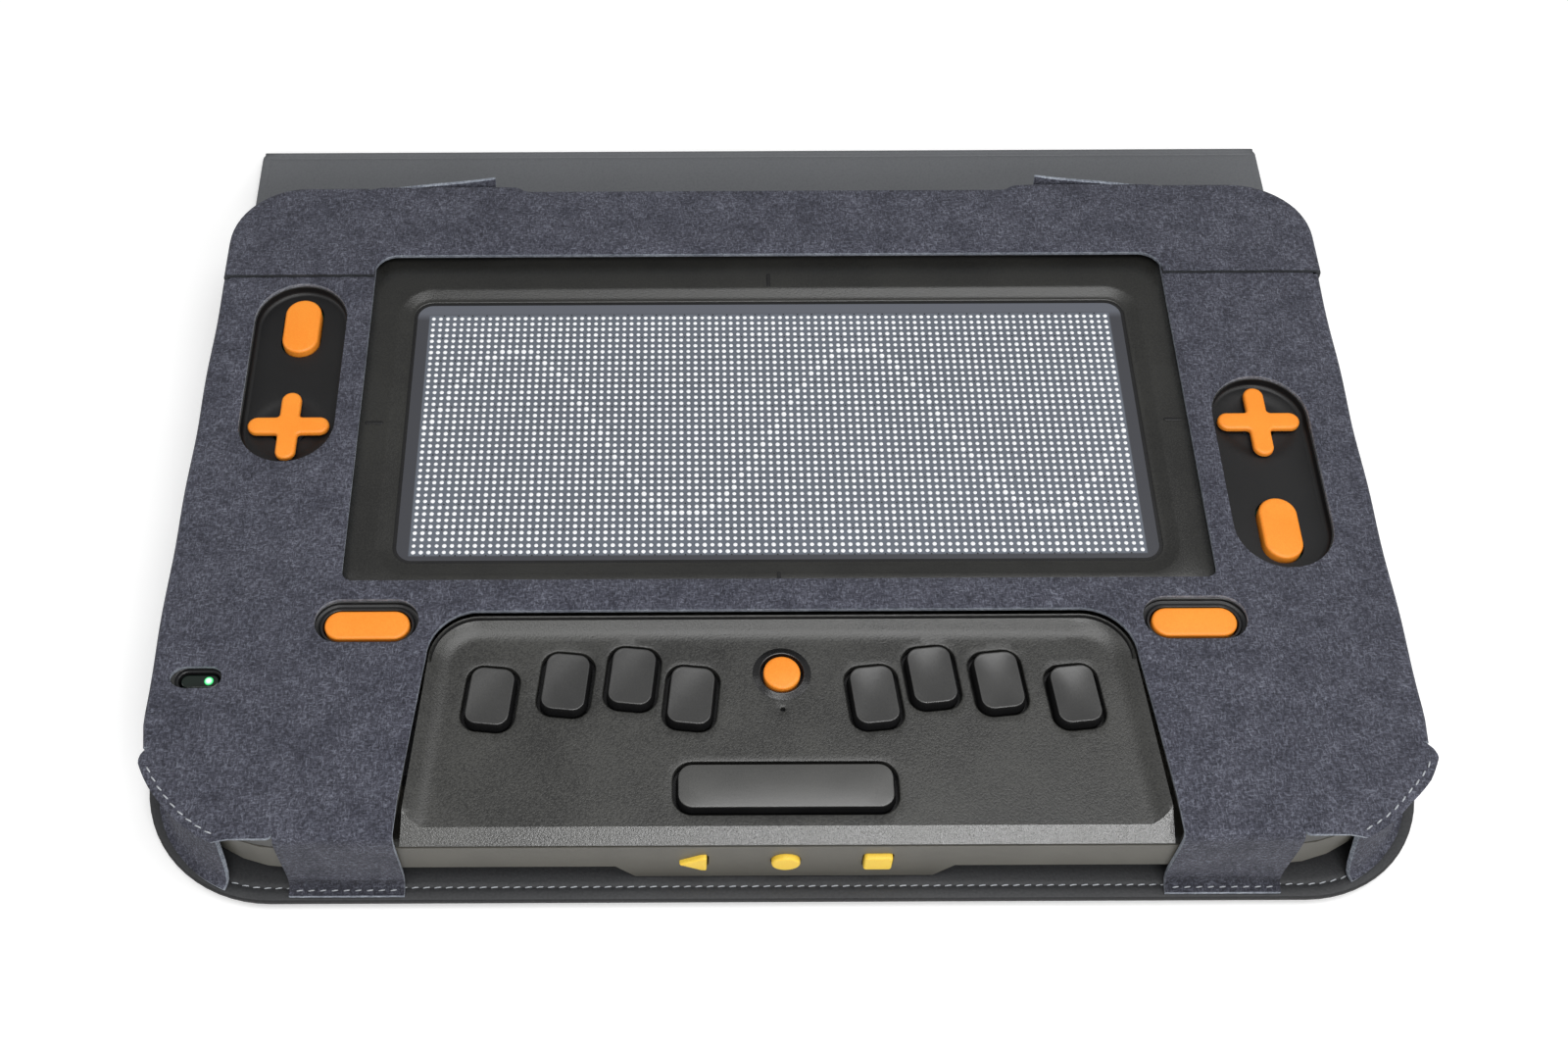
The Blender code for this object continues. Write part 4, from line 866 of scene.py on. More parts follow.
fine_line = deck_line(steps=24)
wall_line = np.concatenate([
    fine_line[:1] + (-0.6 * mm, -8.0 * mm), fine_line[1:-1], fine_line[-1:] + (0.6 * mm, -8.0 * mm)
])
deck_outline = filled(deck_line(), 2.0 * mm)
crease_x = np.linspace(-deck_front_half + 0.3 * mm, deck_front_half - 0.3 * mm, 300)
crease_try = np.stack([crease_x, np.full(300, y_chamfer)], 1)
crease_wall = reach(crease_try, wall_line, closed=False)
crease_rise = wall_height(crease_wall) - z_deck
crease = np.stack([crease_x, y_chamfer + crease_rise / cut_slope], 1)
deck_rings = [deck_line(-step * mm)[1:-1] for step in (0.5, 1.0, 1.6, 2.3, 3.1, 4.0, 5.0, 6.0, 7.0)]
deck_flat, deck_faces = plate(
    deck_outline, deck_holes, 2.4 * mm, bands=(0.12 * mm, 0.3 * mm, lip_radius), extra=deck_rings,
    creases=[crease]
)
# The faces of the cut-off front edge take a smoother, glossier copy of the black plastic; its
# lighter colour is a painted highlight.
chamfer_painted_highlight = moulded(
    "front_edge_painted_highlight", (48, 48, 47), (80, 80, 77), 40.0, 1700.0, 0.1 * mm, (0.24, 0.34),
    Specular_IOR_Level=0.9
)
deck_middle = deck_flat[deck_faces].mean(1)
deck_cut = z_chamfer + (deck_middle[:, 1] - y_device) * cut_slope
on_cut = deck_cut < wall_height(reach(deck_middle, wall_line, closed=False)) - 0.02 * mm
hole_walls = [
    carried(hole, [(0.0, z_deck - lip_radius), (0.0, z_deck_under)]) for hole in deck_holes
]
deck_points, deck_every = joined(
    (lifted(deck_flat, deck_height(deck_flat)), deck_faces.tolist()),
    *[(wall, ring_faces(wall, turned=True)) for wall in hole_walls]
)
deck_slots = np.zeros(len(deck_every), np.int32)
deck_slots[: len(on_cut)] = on_cut
new_piece(
    "keyboard_deck", deck_points, deck_every, [black_plastic, chamfer_painted_highlight], deck_slots,
    weld=0.01 * mm, sharp=29.0, body="device"
)
z_wall_top = z_deck + wall_rise[0]
groove_profile = [
    (0.0, z_wall_top), (0.0, z_wall_top - groove_depth), (groove_width, z_wall_top - groove_depth),
    (groove_width, z_top)
]
groove_rows = carried(fine_line[1:-1], groove_profile, closed=False)
new_piece(
    "bay_groove", groove_rows, ring_faces(groove_rows, closed=False), smooth_black, body="device"
)
lining = lifted(rounded_box(*lining_box, 0.0, steps=0), z_lining)
new_piece("deck_lining", lining, [[0, 1, 2, 3]], smooth_black, body="device")


# Collar of the round button: a glossy black ring with a sloping face, set into the deck.
collar_black = moulded(
    "collar_black", (15, 15, 16), (22, 22, 23), 60.0, 1700.0, 0.05 * mm, (0.24, 0.32),
    Specular_IOR_Level=0.8
)
collar_radius, collar_high = np.array(collar_profile).T[..., None] * mm
collar_ring = circle((0.0, 0.0), 1.0, 56)
collar_rows = grid(
    centre_spot[0] + collar_radius * collar_ring[:, 0],
    centre_spot[1] + collar_radius * collar_ring[:, 1], collar_high
)
new_piece(
    "centre_collar", collar_rows, ring_faces(collar_rows), collar_black, body="device",
)


# Button wells: a smooth, nearly black recess at each side for the cross pad and its upright
# button. The wall rounds into the floor, and the floor dips a little round the cross.
z_well = 34.5 * mm
well_fillet = 1.3 * mm
well_dish = 14.2 * mm
well_dish_depth = 0.7 * mm
cross_reach = 13.9 * mm
cross_arm = 6.8 * mm
cross_hole = 6.2 * mm
pill_size = (12.6 * mm, 23.5 * mm)
pill_gap = 0.7 * mm
well_black = moulded(
    "well_black_plastic", (14, 14, 15), (20, 20, 21), 50.0, 2400.0, 0.02 * mm, (0.42, 0.52)
)


def quarter_round(radius, z_end, steps, hollow=False):
    """Pairs of outset and height on a quarter circle, from plumb to level at z_end: they come up
    to it, or down to it where it is hollow."""
    turn = np.linspace(0.0, math.pi / 2, steps + 1)
    drop = radius * (1 - np.sin(turn))
    return np.stack([-radius * (1 - np.cos(turn)), z_end + drop if hollow else z_end - drop], 1)


def well_lining(side):
    """The wall is a quarter round carried round the well; the floor is a plate with a cosine dip
    round the cross and openings for the stem and the button."""
    spot = well_spots[side]
    outline = filled(stadium(spot, well_width, well_length, steps=14), 4.0 * mm)
    wall = [(0.35 * mm, z_top + 0.02 * mm), (0.05 * mm, z_top - 0.1 * mm), (0.0, z_top - 0.45 * mm)]
    curve = quarter_round(well_fillet, z_well, 5, hollow=True)
    rows = carried(outline, np.concatenate([wall, curve]))
    cross_spot = (spot[0], cross_y)
    holes = [
        circle(cross_spot, cross_hole, 28),
        stadium(pill_spots[side], pill_size[0] + 2 * pill_gap, pill_size[1] + 2 * pill_gap)
    ]
    rings = [
        circle(cross_spot, radius, 48) for radius in np.array([8.0, 10.0, 11.5, 12.8, 14.2]) * mm
    ]
    flat, faces = plate(rows[-1][:, :2], holes, 2.6 * mm, bands=(0.5 * mm,), extra=rings)
    away = np.hypot(flat[:, 0] - cross_spot[0], flat[:, 1] - cross_spot[1])
    share = np.clip((well_dish - away) / (4.5 * mm), 0.0, 1.0)
    well_floor = lifted(flat, z_well - well_dish_depth * (0.5 - 0.5 * np.cos(math.pi * share)))
    parts = [(rows, ring_faces(rows, turned=True)), (well_floor, faces.tolist())]
    for hole, depth in zip(holes, (well_dish_depth, 0.0)):
        drop = carried(hole, [(0.0, z_well - depth), (0.0, z_well - 2.6 * mm)])
        parts.append((drop, ring_faces(drop, turned=True)))
    points, every = joined(*parts)
    new_piece(
        f"well_{side}", points, every, well_black, weld=0.02 * mm, sharp=40.0, body="device",
    )


for well_side in well_spots:
    well_lining(well_side)


# Seats of the two lying buttons: a black recess in the top with a thin raised lip round the
# button's opening. The status light sits in a smaller one.
seat_profile = [(0.0, 37.82), (-0.3, 37.6), (-0.4, 36.6), (-0.9, 36.2)]
lip_profile = [
    (2.1, 36.2), (1.75, 36.3), (1.55, 36.9), (1.3, 37.2), (0.8, 37.22), (0.55, 37.0), (0.5, 36.5),
    (0.5, 33.4)
]


def lipped_seat(name, outer, inner):
    """Two profiles carried round two outlines with as many points, the outer one down to the
    recess, the inner one over the lip and into the opening."""
    rows = np.concatenate([
        carried(outer, np.array(seat_profile) * mm), carried(inner, np.array(lip_profile) * mm)
    ])
    new_piece(
        name, rows, ring_faces(rows, turned=True), smooth_black, sharp=40.0, body="device",
    )


for seat_side, seat_spot in low_pill_spots.items():
    lipped_seat(
        f"low_seat_{seat_side}", stadium(seat_spot, *low_seat_size),
        stadium(seat_spot, *low_pill_size)
    )
lipped_seat(
    "lens_seat", stadium(lens_spot, *lens_seat_size, steps=8),
    stadium(lens_spot, lens_size[0] - 0.5 * mm, lens_size[1] - 0.5 * mm, steps=8)
)


# Display bezel: a flat black frame that falls through a soft slope to the touch surface, with
# a short raised tick in the middle of each side for the fingers to find.
rim_half = 131.0 * mm
rim_span = (-59.7 * mm, 60.2 * mm)
rim_corner = 12.0 * mm
rim_slope = 5.0 * mm
z_rim_foot = 36.35 * mm
z_touch = 36.0 * mm
slope_share = np.linspace(0.0, 1.0, 13)
slope_fall = np.cumsum(np.interp(slope_share, (0.0, 0.2, 0.8, 1.0), (0.0, 1.0, 1.0, 0.2)))
slope_fall /= slope_fall[-1]
bezel_box = rounded_box(-bezel_half, bezel_half, *bezel_span, bezel_corner, 12)
bezel_edge = np.array([(0.0, 36.6), (0.0, 37.6), (-0.2, 37.8)]) * mm
rim_fall = np.concatenate([
    [(0.5 * mm, z_top)],
    np.stack([-rim_slope * slope_share, z_top + (z_rim_foot - z_top) * slope_fall], 1),
    [
        (-rim_slope - 0.35 * mm, z_rim_foot - 0.02 * mm),
        (-rim_slope - 0.5 * mm, z_rim_foot - 0.2 * mm), (-rim_slope - 0.5 * mm, z_touch - 0.6 * mm)
    ]
])
bezel_rows = np.concatenate([
    carried(bezel_box, bezel_edge),
    board_rows((-rim_half, rim_half, *rim_span), rim_corner, rim_fall, 12)
])
bezel_black = moulded(
    "bezel_black", (28, 28, 27), (44, 44, 41), 40.0, 1900.0, 0.06 * mm, (0.3, 0.38),
    Specular_IOR_Level=0.7
)
new_piece(
    "bezel_frame", bezel_rows, ring_faces(bezel_rows), bezel_black, sharp=50.0, body="device",
    stands_for=["display_bezel"]
)
tick_size = (1.3 * mm, 6.2 * mm)
tick_profile = np.array([(0.0, 37.7), (0.0, 37.92), (-0.12, 38.03), (-0.3, 38.05)]) * mm
front_tick_size = (1.3 * mm, 3.41 * mm)
tick_spots = (
    (0.0, 63.2 * mm, tick_size), (0.0, -60.6 * mm, front_tick_size),
    (-135.6 * mm, 1.125 * mm, tick_size[::-1]), (135.6 * mm, 1.125 * mm, tick_size[::-1])
)
for tick_number, (tick_x, tick_y, tick_sides) in enumerate(tick_spots, 1):
    tick_half = np.array(tick_sides) / 2
    tick_rows = board_rows(
        (
            tick_x - tick_half[0], tick_x + tick_half[0], tick_y - tick_half[1],
            tick_y + tick_half[1]
        ),
        0.6 * mm, tick_profile, 5
    )
    new_piece(
        f"tick_{tick_number}", tick_rows, ring_faces(tick_rows, capped=True), well_black,
        sharp=50.0, body="device"
    )


# Touch surface: a satin grey film over the pin field, lighter blue grey where the pins come
# through, with tiny vent marks in rows between the pins.
touch_box = (-126.0 * mm, 126.0 * mm, rim_span[0] + rim_slope, rim_span[1] - rim_slope)
z_gap_shade = 36.06 * mm
pin_pitch = 2.5 * mm
pin_columns = 96
pin_rows = 40
first_pin = (-118.75 * mm, -49.825 * mm)
field_low = (-120.2 * mm, -51.2 * mm)
field_high = (120.2 * mm, 49.1 * mm)


def touch_film():
    """Grey film: a step on Object coordinates makes the pin field lighter, and slow noise clouds
    it; the gloss is satin."""
    made, tree, shader, spot = begin_material("touch_film")
    parts = add_node(tree, "SeparateXYZ", (), Vector=spot)
    inner = None
    for axis, low, high in ((0, field_low[0], field_high[0]), (1, field_low[1], field_high[1])):
        middle, half = (low + high) / 2, (high - low) / 2
        from_middle = add_node(
            tree, "Math", {"operation": "SUBTRACT", 1: middle}, _0=parts.outputs[axis]
        )
        distance = add_node(tree, "Math", {"operation": "ABSOLUTE"}, _0=from_middle)
        share = add_range(tree, distance, half - 0.2 * mm, half + 0.2 * mm, 1.0, 0.0)
        if inner is None:
            inner = share
        else:
            inner = add_node(tree, "Math", {"operation": "MULTIPLY"}, _0=inner, _1=share)
    cloud = add_noise(tree, spot, 14.0, 3.0)
    grain = add_noise(tree, spot, 2600.0, 1.0)
    field = add_mix(tree, (92, 97, 105), (108, 114, 124), cloud)
    back_share = add_range(
        tree, parts.outputs[1], field_high[1] - 2.0 * mm, field_high[1] + 1.0 * mm, 0.0, 1.0
    )
    border = add_mix(tree, (66, 67, 72), (96, 99, 107), back_share)
    blend = add_node(tree, "MixRGB", (), Fac=inner, Color1=border, Color2=field)
    set_sockets(shader, Base_Color=blend)
    set_sockets(shader, Roughness=add_range(tree, cloud, 0.3, 0.7, 0.3, 0.38))
    add_bump(shader, grain, 0.006 * mm)
    return made


touch_rows = board_rows(
    touch_box, 7.0 * mm,
    [
        (0.0, z_touch - 0.7 * mm), (0.0, z_touch - 0.1 * mm), (-0.1 * mm, z_touch),
        (-2.0 * mm, z_touch)
    ],
    12
)
new_piece(
    "touch_surface", touch_rows, ring_faces(touch_rows, capped=True), touch_film(), sharp=50.0,
    body="device", stands_for=["touch_plate"]
)
# A thin near-black ring at the foot of the bezel's slope: painted shade for the gap between bezel
# and film.
gap_shade_rows = board_rows(
    (-rim_half, rim_half, *rim_span), rim_corner,
    [
        (-5.3 * mm, z_touch - 0.3 * mm), (-5.3 * mm, z_gap_shade), (-6.6 * mm, z_gap_shade),
        (-6.6 * mm, z_touch - 0.3 * mm)
    ],
    12
)
new_piece(
    "touch_gasket", gap_shade_rows, ring_faces(gap_shade_rows), well_black, body="device",
)
vent_black = moulded("vent_black", (30, 31, 33), (38, 39, 41), 80.0, 2000.0, 0.01 * mm, (0.5, 0.6))
vent_x = first_pin[0] + (np.arange(1, pin_columns // 2) * 2 - 0.5) * pin_pitch
vent_y = first_pin[1] + (np.arange(0, pin_rows // 4 + 1) * 4 - 0.5) * pin_pitch
vent_spots = np.stack(np.meshgrid(vent_x, vent_y), 2).reshape(-1, 2)
vent_ring = circle((0.0, 0.0), 0.33 * mm, 6)
vent_points = (vent_spots[:, None] + vent_ring[None]).reshape(-1, 2)
vent_faces = np.arange(len(vent_points)).reshape(-1, 6).tolist()
new_piece(
    "vent_marks", lifted(vent_points, z_touch + 0.015 * mm), vent_faces, vent_black, body="device"
)


# Pins: 96 by 40 round-headed white pins in a square grid of 2.5 mm. A lowered pin leaves a low
# dome on the film, a raised one stands 0.7 mm proud; here the raised ones draw a slow wave.
raised_top = 36.7 * mm
raised_radius = 0.9 * mm
wave_reach = 14
wave_turns = 2
pin_x = first_pin[0] + np.arange(pin_columns) * pin_pitch
pin_y = first_pin[1] + np.arange(pin_rows) * pin_pitch
wave_phase = np.arange(pin_columns) / (pin_columns - 1) * 2 * math.pi * wave_turns
wave_row = np.array([round(19.5 + wave_reach * math.sin(phase)) for phase in wave_phase])
pin_grid = np.stack(np.meshgrid(pin_x, pin_y), 2)
is_raised = np.arange(pin_rows)[:, None] == wave_row[None]
pin_draw = np.random.default_rng(7)
pin_size = pin_draw.uniform(0.0, 1.0, (pin_rows, pin_columns))


def pin_cloth():
    """Moulded white: a faint cloudy tone from noise and a soft gloss."""
    made, tree, shader, spot = begin_material("pin_white")
    cloud = add_noise(tree, spot, 500.0, 2.0)
    add_colour(shader, (240, 243, 246), (254, 254, 255), cloud)
    set_sockets(shader, Roughness=add_range(tree, cloud, 0.3, 0.7, 0.35, 0.5))
    add_bump(shader, cloud, 0.02 * mm)
    return made


def pin_domes(name, spots, radius, foot, top, body, stands_for=()):
    """A dome for each pin: three rings of eight points and a tip, on a height that follows a
    quarter ellipse; radius and top may differ from pin to pin."""
    ring = circle((0.0, 0.0), 1.0, 8)
    radius = np.broadcast_to(radius, len(spots))
    top = np.broadcast_to(top, len(spots))
    dome = np.minimum(top - z_touch, 0.45 * mm)
    levels = [(1.0, np.full(len(spots), foot)), (1.0, top - dome), (0.74, top - 0.33 * dome)]
    parts = []
    for share, high in levels:
        flat = spots[:, None] + share * radius[:, None, None] * ring[None]
        parts.append(
            np.concatenate([flat, np.broadcast_to(high[:, None, None], flat.shape[:2] + (1,))], 2)
        )
    tip = np.concatenate([spots, top[:, None]], 1)[:, None]
    points = np.concatenate(parts + [tip], 1)
    step = points.shape[1]
    spot = np.arange(8)
    after = (spot + 1) % 8
    sides = np.concatenate([
        np.stack([spot + row, after + row, after + row + 8, spot + row + 8], 1) for row in (0, 8)
    ])
    caps = np.stack([spot + 16, after + 16, np.full(8, 24)], 1)
    first = np.arange(len(spots))[:, None, None] * step
    quads = (sides[None] + first).reshape(-1, 4).tolist()
    faces = quads + (caps[None] + first).reshape(-1, 3).tolist()
    new_piece(
        name, points, faces, pin_white, sharp=75.0, body=body,
        stands_for=stands_for
    )


pin_white = pin_cloth()
low_share = pin_size[~is_raised]
pin_domes(
    "lowered_pins", pin_grid[~is_raised], (0.68 + 0.14 * low_share) * mm, z_touch - 0.05 * mm,
    z_touch + (0.2 + 0.16 * low_share) * mm, "device"
)
pin_domes(
    "raised_pin_wave", pin_grid[is_raised], raised_radius, z_touch - 0.72 * mm, raised_top,
    "raised_pins", ["raised_pins"]
)


# Braille keys: eight black caps fanned round the reader's fingers, satin, a little hollow on top
# with a rounded rim. The space bar below them is longer and flatter, in a lighter black that is a
# painted highlight.
z_key_foot = 31.5 * mm
z_key_top = 35.9 * mm
key_round = 0.3 * mm
key_draw = 0.75 * mm
key_hollow = 0.75 * mm
space_crown = 0.45 * mm
key_black = moulded(
    "key_black", (50, 50, 50), (62, 62, 61), 45.0, 3600.0, 0.012 * mm, (0.28, 0.36),
    Specular_IOR_Level=0.9
)
# The space bar takes a lighter copy of the key black: a painted highlight for its brighter sheen.
space_painted_highlight = moulded(
    "space_painted_highlight", (66, 66, 65), (80, 80, 78), 45.0, 3600.0, 0.012 * mm, (0.3, 0.38),
    Specular_IOR_Level=0.9
)


def cap_rows(outline, foot, top, rounding, dome, draw=0.0, power=2):
    """A cap's rings: up from the foot, drawn in by draw, a quarter round at the rim, then rings
    shrunk towards the middle. The middle is raised by dome, or sunk where it is less than zero:
    one minus a power of the share of the length, times one minus the square of that across."""
    edge = quarter_round(rounding, top, 5) - (draw, 0.0)
    rows = carried(outline, np.concatenate([[(0.0, foot)], edge]))
    rim = rows[-1]
    middle = (rim.max(0) + rim.min(0)) / 2
    shares = np.array([0.97, 0.9, 0.8, 0.68, 0.54, 0.4, 0.26, 0.12, 0.04])
    inner = middle[None, None] + shares[:, None, None] * (rim - middle)[None]
    part = np.abs(inner - middle)[..., :2] / (rim - middle)[:, :2].max(0)
    inner[..., 2] = top + dome * (1.0 - part[..., 0] ** power) * (1.0 - part[..., 1] ** 2)
    return np.concatenate([rows, inner])


def cap_piece(name, rows, material, node, body=None):
    """A closed cap from its rings, in place of its CAD solid, on the body of the same name or on
    another. A second, darker material goes on its foot and its sides, up to the rim's round:
    painted shade on the sides."""
    faces = ring_faces(rows, capped=True)
    slots = None
    if isinstance(material, list):
        slots = np.zeros(len(faces), np.int32)
        slots[: rows.shape[1]] = 1
        slots[-2] = 1
    new_piece(
        name, rows, faces, material, slots, sharp=50.0, body=body or node,
        stands_for=[node]
    )


key_cap = filled(key_outline((0.0, 0.0, 0.0), 0.0, 9), 2.5 * mm)
# Each key's sides and foot take the near-black well plastic: painted shade.
for key_number, (key_x, key_y, key_angle) in enumerate(key_spots, 1):
    key_rows = cap_rows(key_cap, z_key_foot, z_key_top, key_round, -key_hollow, draw=key_draw)
    key_rows[..., :2] = key_rows[..., :2] @ spin(key_angle) + np.array((key_x, key_y)) * mm
    cap_piece(
        f"braille_key_{key_number}", key_rows, [key_black, well_black],
        f"key_{key_number}"
    )
space_rows = cap_rows(
    filled(space_outline(), 2.5 * mm), z_key_foot, z_key_top - space_crown, key_round, space_crown,
    draw=key_draw, power=8
)
cap_piece("space_key", space_rows, [space_painted_highlight, well_black], "space_bar")


# Orange controls: matt moulded caps with softly rounded rims, darker where light grazes the
# sides. Round centre button, two upright and two lying pills, and a cross at each side.
orange = moulded(
    "orange_plastic", (252, 142, 38), (255, 158, 52), 60.0, 2800.0, 0.015 * mm, (0.4, 0.5),
    Subsurface_Weight=0.08, Subsurface_Scale=0.002
)
z_pad_top = 37.1 * mm
centre_rows = cap_rows(
    circle(centre_spot, centre_radius, 48), z_deck_under, 34.95 * mm, 0.8 * mm, 0.3 * mm
)
cap_piece("centre_cap", centre_rows, orange, "centre_button")
for pill_kind, node_kind, spots, size, pill_shape in (
    ("upright_pill", "pill", pill_spots, pill_size, (32.4, 36.95, 1.0, 0.15)),
    ("lying_pill", "low_pill", low_pill_spots, low_pill_size, (34.4, 37.95, 0.9, 0.12))
):
    for pill_side, pill_spot in spots.items():
        pill_rows = cap_rows(
            filled(stadium(pill_spot, *size, steps=16), 3.0 * mm), *np.array(pill_shape) * mm
        )
        cap_piece(
            f"{pill_kind}_{pill_side}", pill_rows, orange,
            f"{node_kind}_{pill_side}"
        )


def cross_outline(spot):
    """Four arms with rounded ends, joined by small hollow corners, anticlockwise."""
    half, inner = cross_arm / 2, 1.2 * mm
    arm = np.concatenate([
        arc_points((half + inner, -half - inner), inner, 180, 90, 4),
        arc_points((cross_reach - half, 0.0), half, -90, 90, 14)
    ])
    arms = [arm @ spin(degrees) for degrees in (0, 90, 180, 270)]
    return distinct(np.concatenate(arms)) + np.array(spot)


cross_profile = np.concatenate([
    [(0.0, z_well + 0.8 * mm)], quarter_round(1.0 * mm, z_pad_top, 6),
    [(-1.5 * mm, z_pad_top + 0.01 * mm)]
])
stem_radius = 4.0 * mm
stem_profile = np.array([(0.0, 32.5), (0.0, 35.2)]) * mm
for cross_side, well_spot in well_spots.items():
    cross_name = f"cross_pad_{cross_side}"
    cross_spot = (well_spot[0], cross_y)
    cross_rows = carried(filled(cross_outline(cross_spot), 3.0 * mm), cross_profile)
    cap_piece(f"cross_cap_{cross_side}", cross_rows, orange, cross_name)
    stem = carried(circle(cross_spot, stem_radius, 24), stem_profile)
    new_piece(
        f"cross_stem_{cross_side}", stem, ring_faces(stem, capped=True), smooth_black,
        body=cross_name
    )


# Front buttons: three yellow caps in the front face, a triangle that points left, a disc and a
# rounded square, each in its own dark opening. They are pressed backwards.
yellow = moulded(
    "yellow_plastic", (250, 200, 58), (255, 220, 84), 60.0, 2800.0, 0.012 * mm, (0.4, 0.5)
)
z_front_button = 19.0 * mm
front_proud = 1.6 * mm
front_round = 0.7 * mm


def corner_cut(points, radius, steps=5):
    """A polygon with each corner replaced by a small quadratic curve that starts and ends a
    radius away along its sides."""
    points = np.array(points)
    before = np.roll(points, 1, 0) - points
    after = np.roll(points, -1, 0) - points
    start = points + radius * before / np.linalg.norm(before, axis=1, keepdims=True)
    end = points + radius * after / np.linalg.norm(after, axis=1, keepdims=True)
    share = np.linspace(0.0, 1.0, steps)[None, :, None]
    curve = (
        (1 - share) ** 2 * start[:, None]
        + 2 * share * (1 - share) * points[:, None]
        + share**2 * end[:, None]
    )
    return curve.reshape(-1, 2)


front_shapes = {
    "back_button": corner_cut(
        np.array([(-32.6, 0.0), (-25.8, -4.3), (-24.0, -4.5), (-24.0, 4.5), (-25.8, 4.3)]) * mm,
        0.7 * mm
    ),
    "home_button": circle((0.0, 0.0), 4.4 * mm, 40),
    "recent_button": corner_cut(
        np.array([(23.7, -4.3), (32.3, -4.3), (32.3, 4.3), (23.7, 4.3)]) * mm, 1.2 * mm
    )
}
for button_name, button_shape in front_shapes.items():
    button_rows = cap_rows(
        filled(button_shape, 2.0 * mm), -3.0 * mm, front_proud, front_round, 0.05 * mm
    )
    button_rows = grid(
        button_rows[..., 0], y_device - button_rows[..., 2], z_front_button + button_rows[..., 1]
    )
    cap_piece(f"front_{button_name}", button_rows, yellow, button_name)


# Status light: a dark smoked lens in the left of the top, with a lit green lamp under its right
# end.
lens_dark, lens_tree, lens_shader, lens_at = begin_material("smoked_lens")
lens_noise = add_noise(lens_tree, lens_at, 90.0, 2.0)
add_colour(lens_shader, (14, 22, 18), (20, 34, 27), lens_noise)
set_sockets(lens_shader, Roughness=0.12, Coat_Weight=0.6)
lens_rows = cap_rows(
    filled(stadium(lens_spot, lens_size[0] - 0.7 * mm, lens_size[1] - 0.7 * mm, steps=8), 2.0 * mm),
    33.6 * mm, 36.7 * mm, 0.5 * mm, 0.08 * mm
)
cap_piece("status_window", lens_rows, lens_dark, "status_lens", "device")
lamp_spot = (-178.7 * mm, -97.2 * mm)
lamp_green, lamp_tree, lamp_shader, lamp_at = begin_material("lamp_green")
lamp_from = add_node(
    lamp_tree, "Mapping",
    {"Location": (-lamp_spot[0], -lamp_spot[1], 0.0), "Scale": (1.0, 1.0, 0.0)}, Vector=lamp_at
)
lamp_far = add_node(lamp_tree, "VectorMath", {"operation": "LENGTH"}, _0=lamp_from)
lamp_core = add_range(lamp_tree, lamp_far.outputs["Value"], 0.2 * mm, 1.3 * mm, 1.0, 0.0)
lamp_blend = add_mix(lamp_tree, (20, 190, 95), (215, 255, 228), lamp_core)
set_sockets(
    lamp_shader, Base_Color=lamp_blend, Emission_Color=lamp_blend,
    Emission_Strength=add_range(lamp_tree, lamp_core, 0.0, 1.0, 0.7, 1.6)
)
lamp_rows = cap_rows(circle(lamp_spot, 1.5 * mm, 28), 36.2 * mm, 36.86 * mm, 0.3 * mm, 0.2 * mm)
new_piece(
    "status_lamp", lamp_rows, ring_faces(lamp_rows, capped=True), lamp_green, sharp=60.0,
    body="device"
)


# Felt sleeve: one cut of 1.6 mm felt round the display, front part of the case. The sides fold
# down to a foot on the base; at the front two tabs fold over the edge, and at the round corners
# the skin is sewn to a corner wall with both edges turned outwards.
felt = 1.6 * mm
z_felt_top = 39.7 * mm
side_flat = 191.7 * mm
window_half = 140.5 * mm
window_front = -62.4 * mm
window_corner = 3.5 * mm
bay_cut_corner = 16.5 * mm
y_bay = -73.675 * mm
y_under_strip = 72.9 * mm
y_fold_front = -149.4 * mm
y_window_front = -151.2 * mm
tab_inner = 117.0 * mm
tab_outer = 152.5 * mm
flange_start = -121.2 * mm
flange_centre = (150.0 * mm, -108.075 * mm)
flange_radius = 48.6 * mm
flange_span = (-64.6, -21.9)
seam_radius = 46.3 * mm
wall_radius = 43.9 * mm
well_cut = (32.6 * mm, 77.1 * mm)
low_pill_cut = (33.0 * mm, 15.6 * mm)
low_cut_shift = 0.6 * mm
lens_cut = (14.6 * mm, 7.6 * mm)
edge_roll = 6.0 * mm
edge_drop = 0.25 * mm


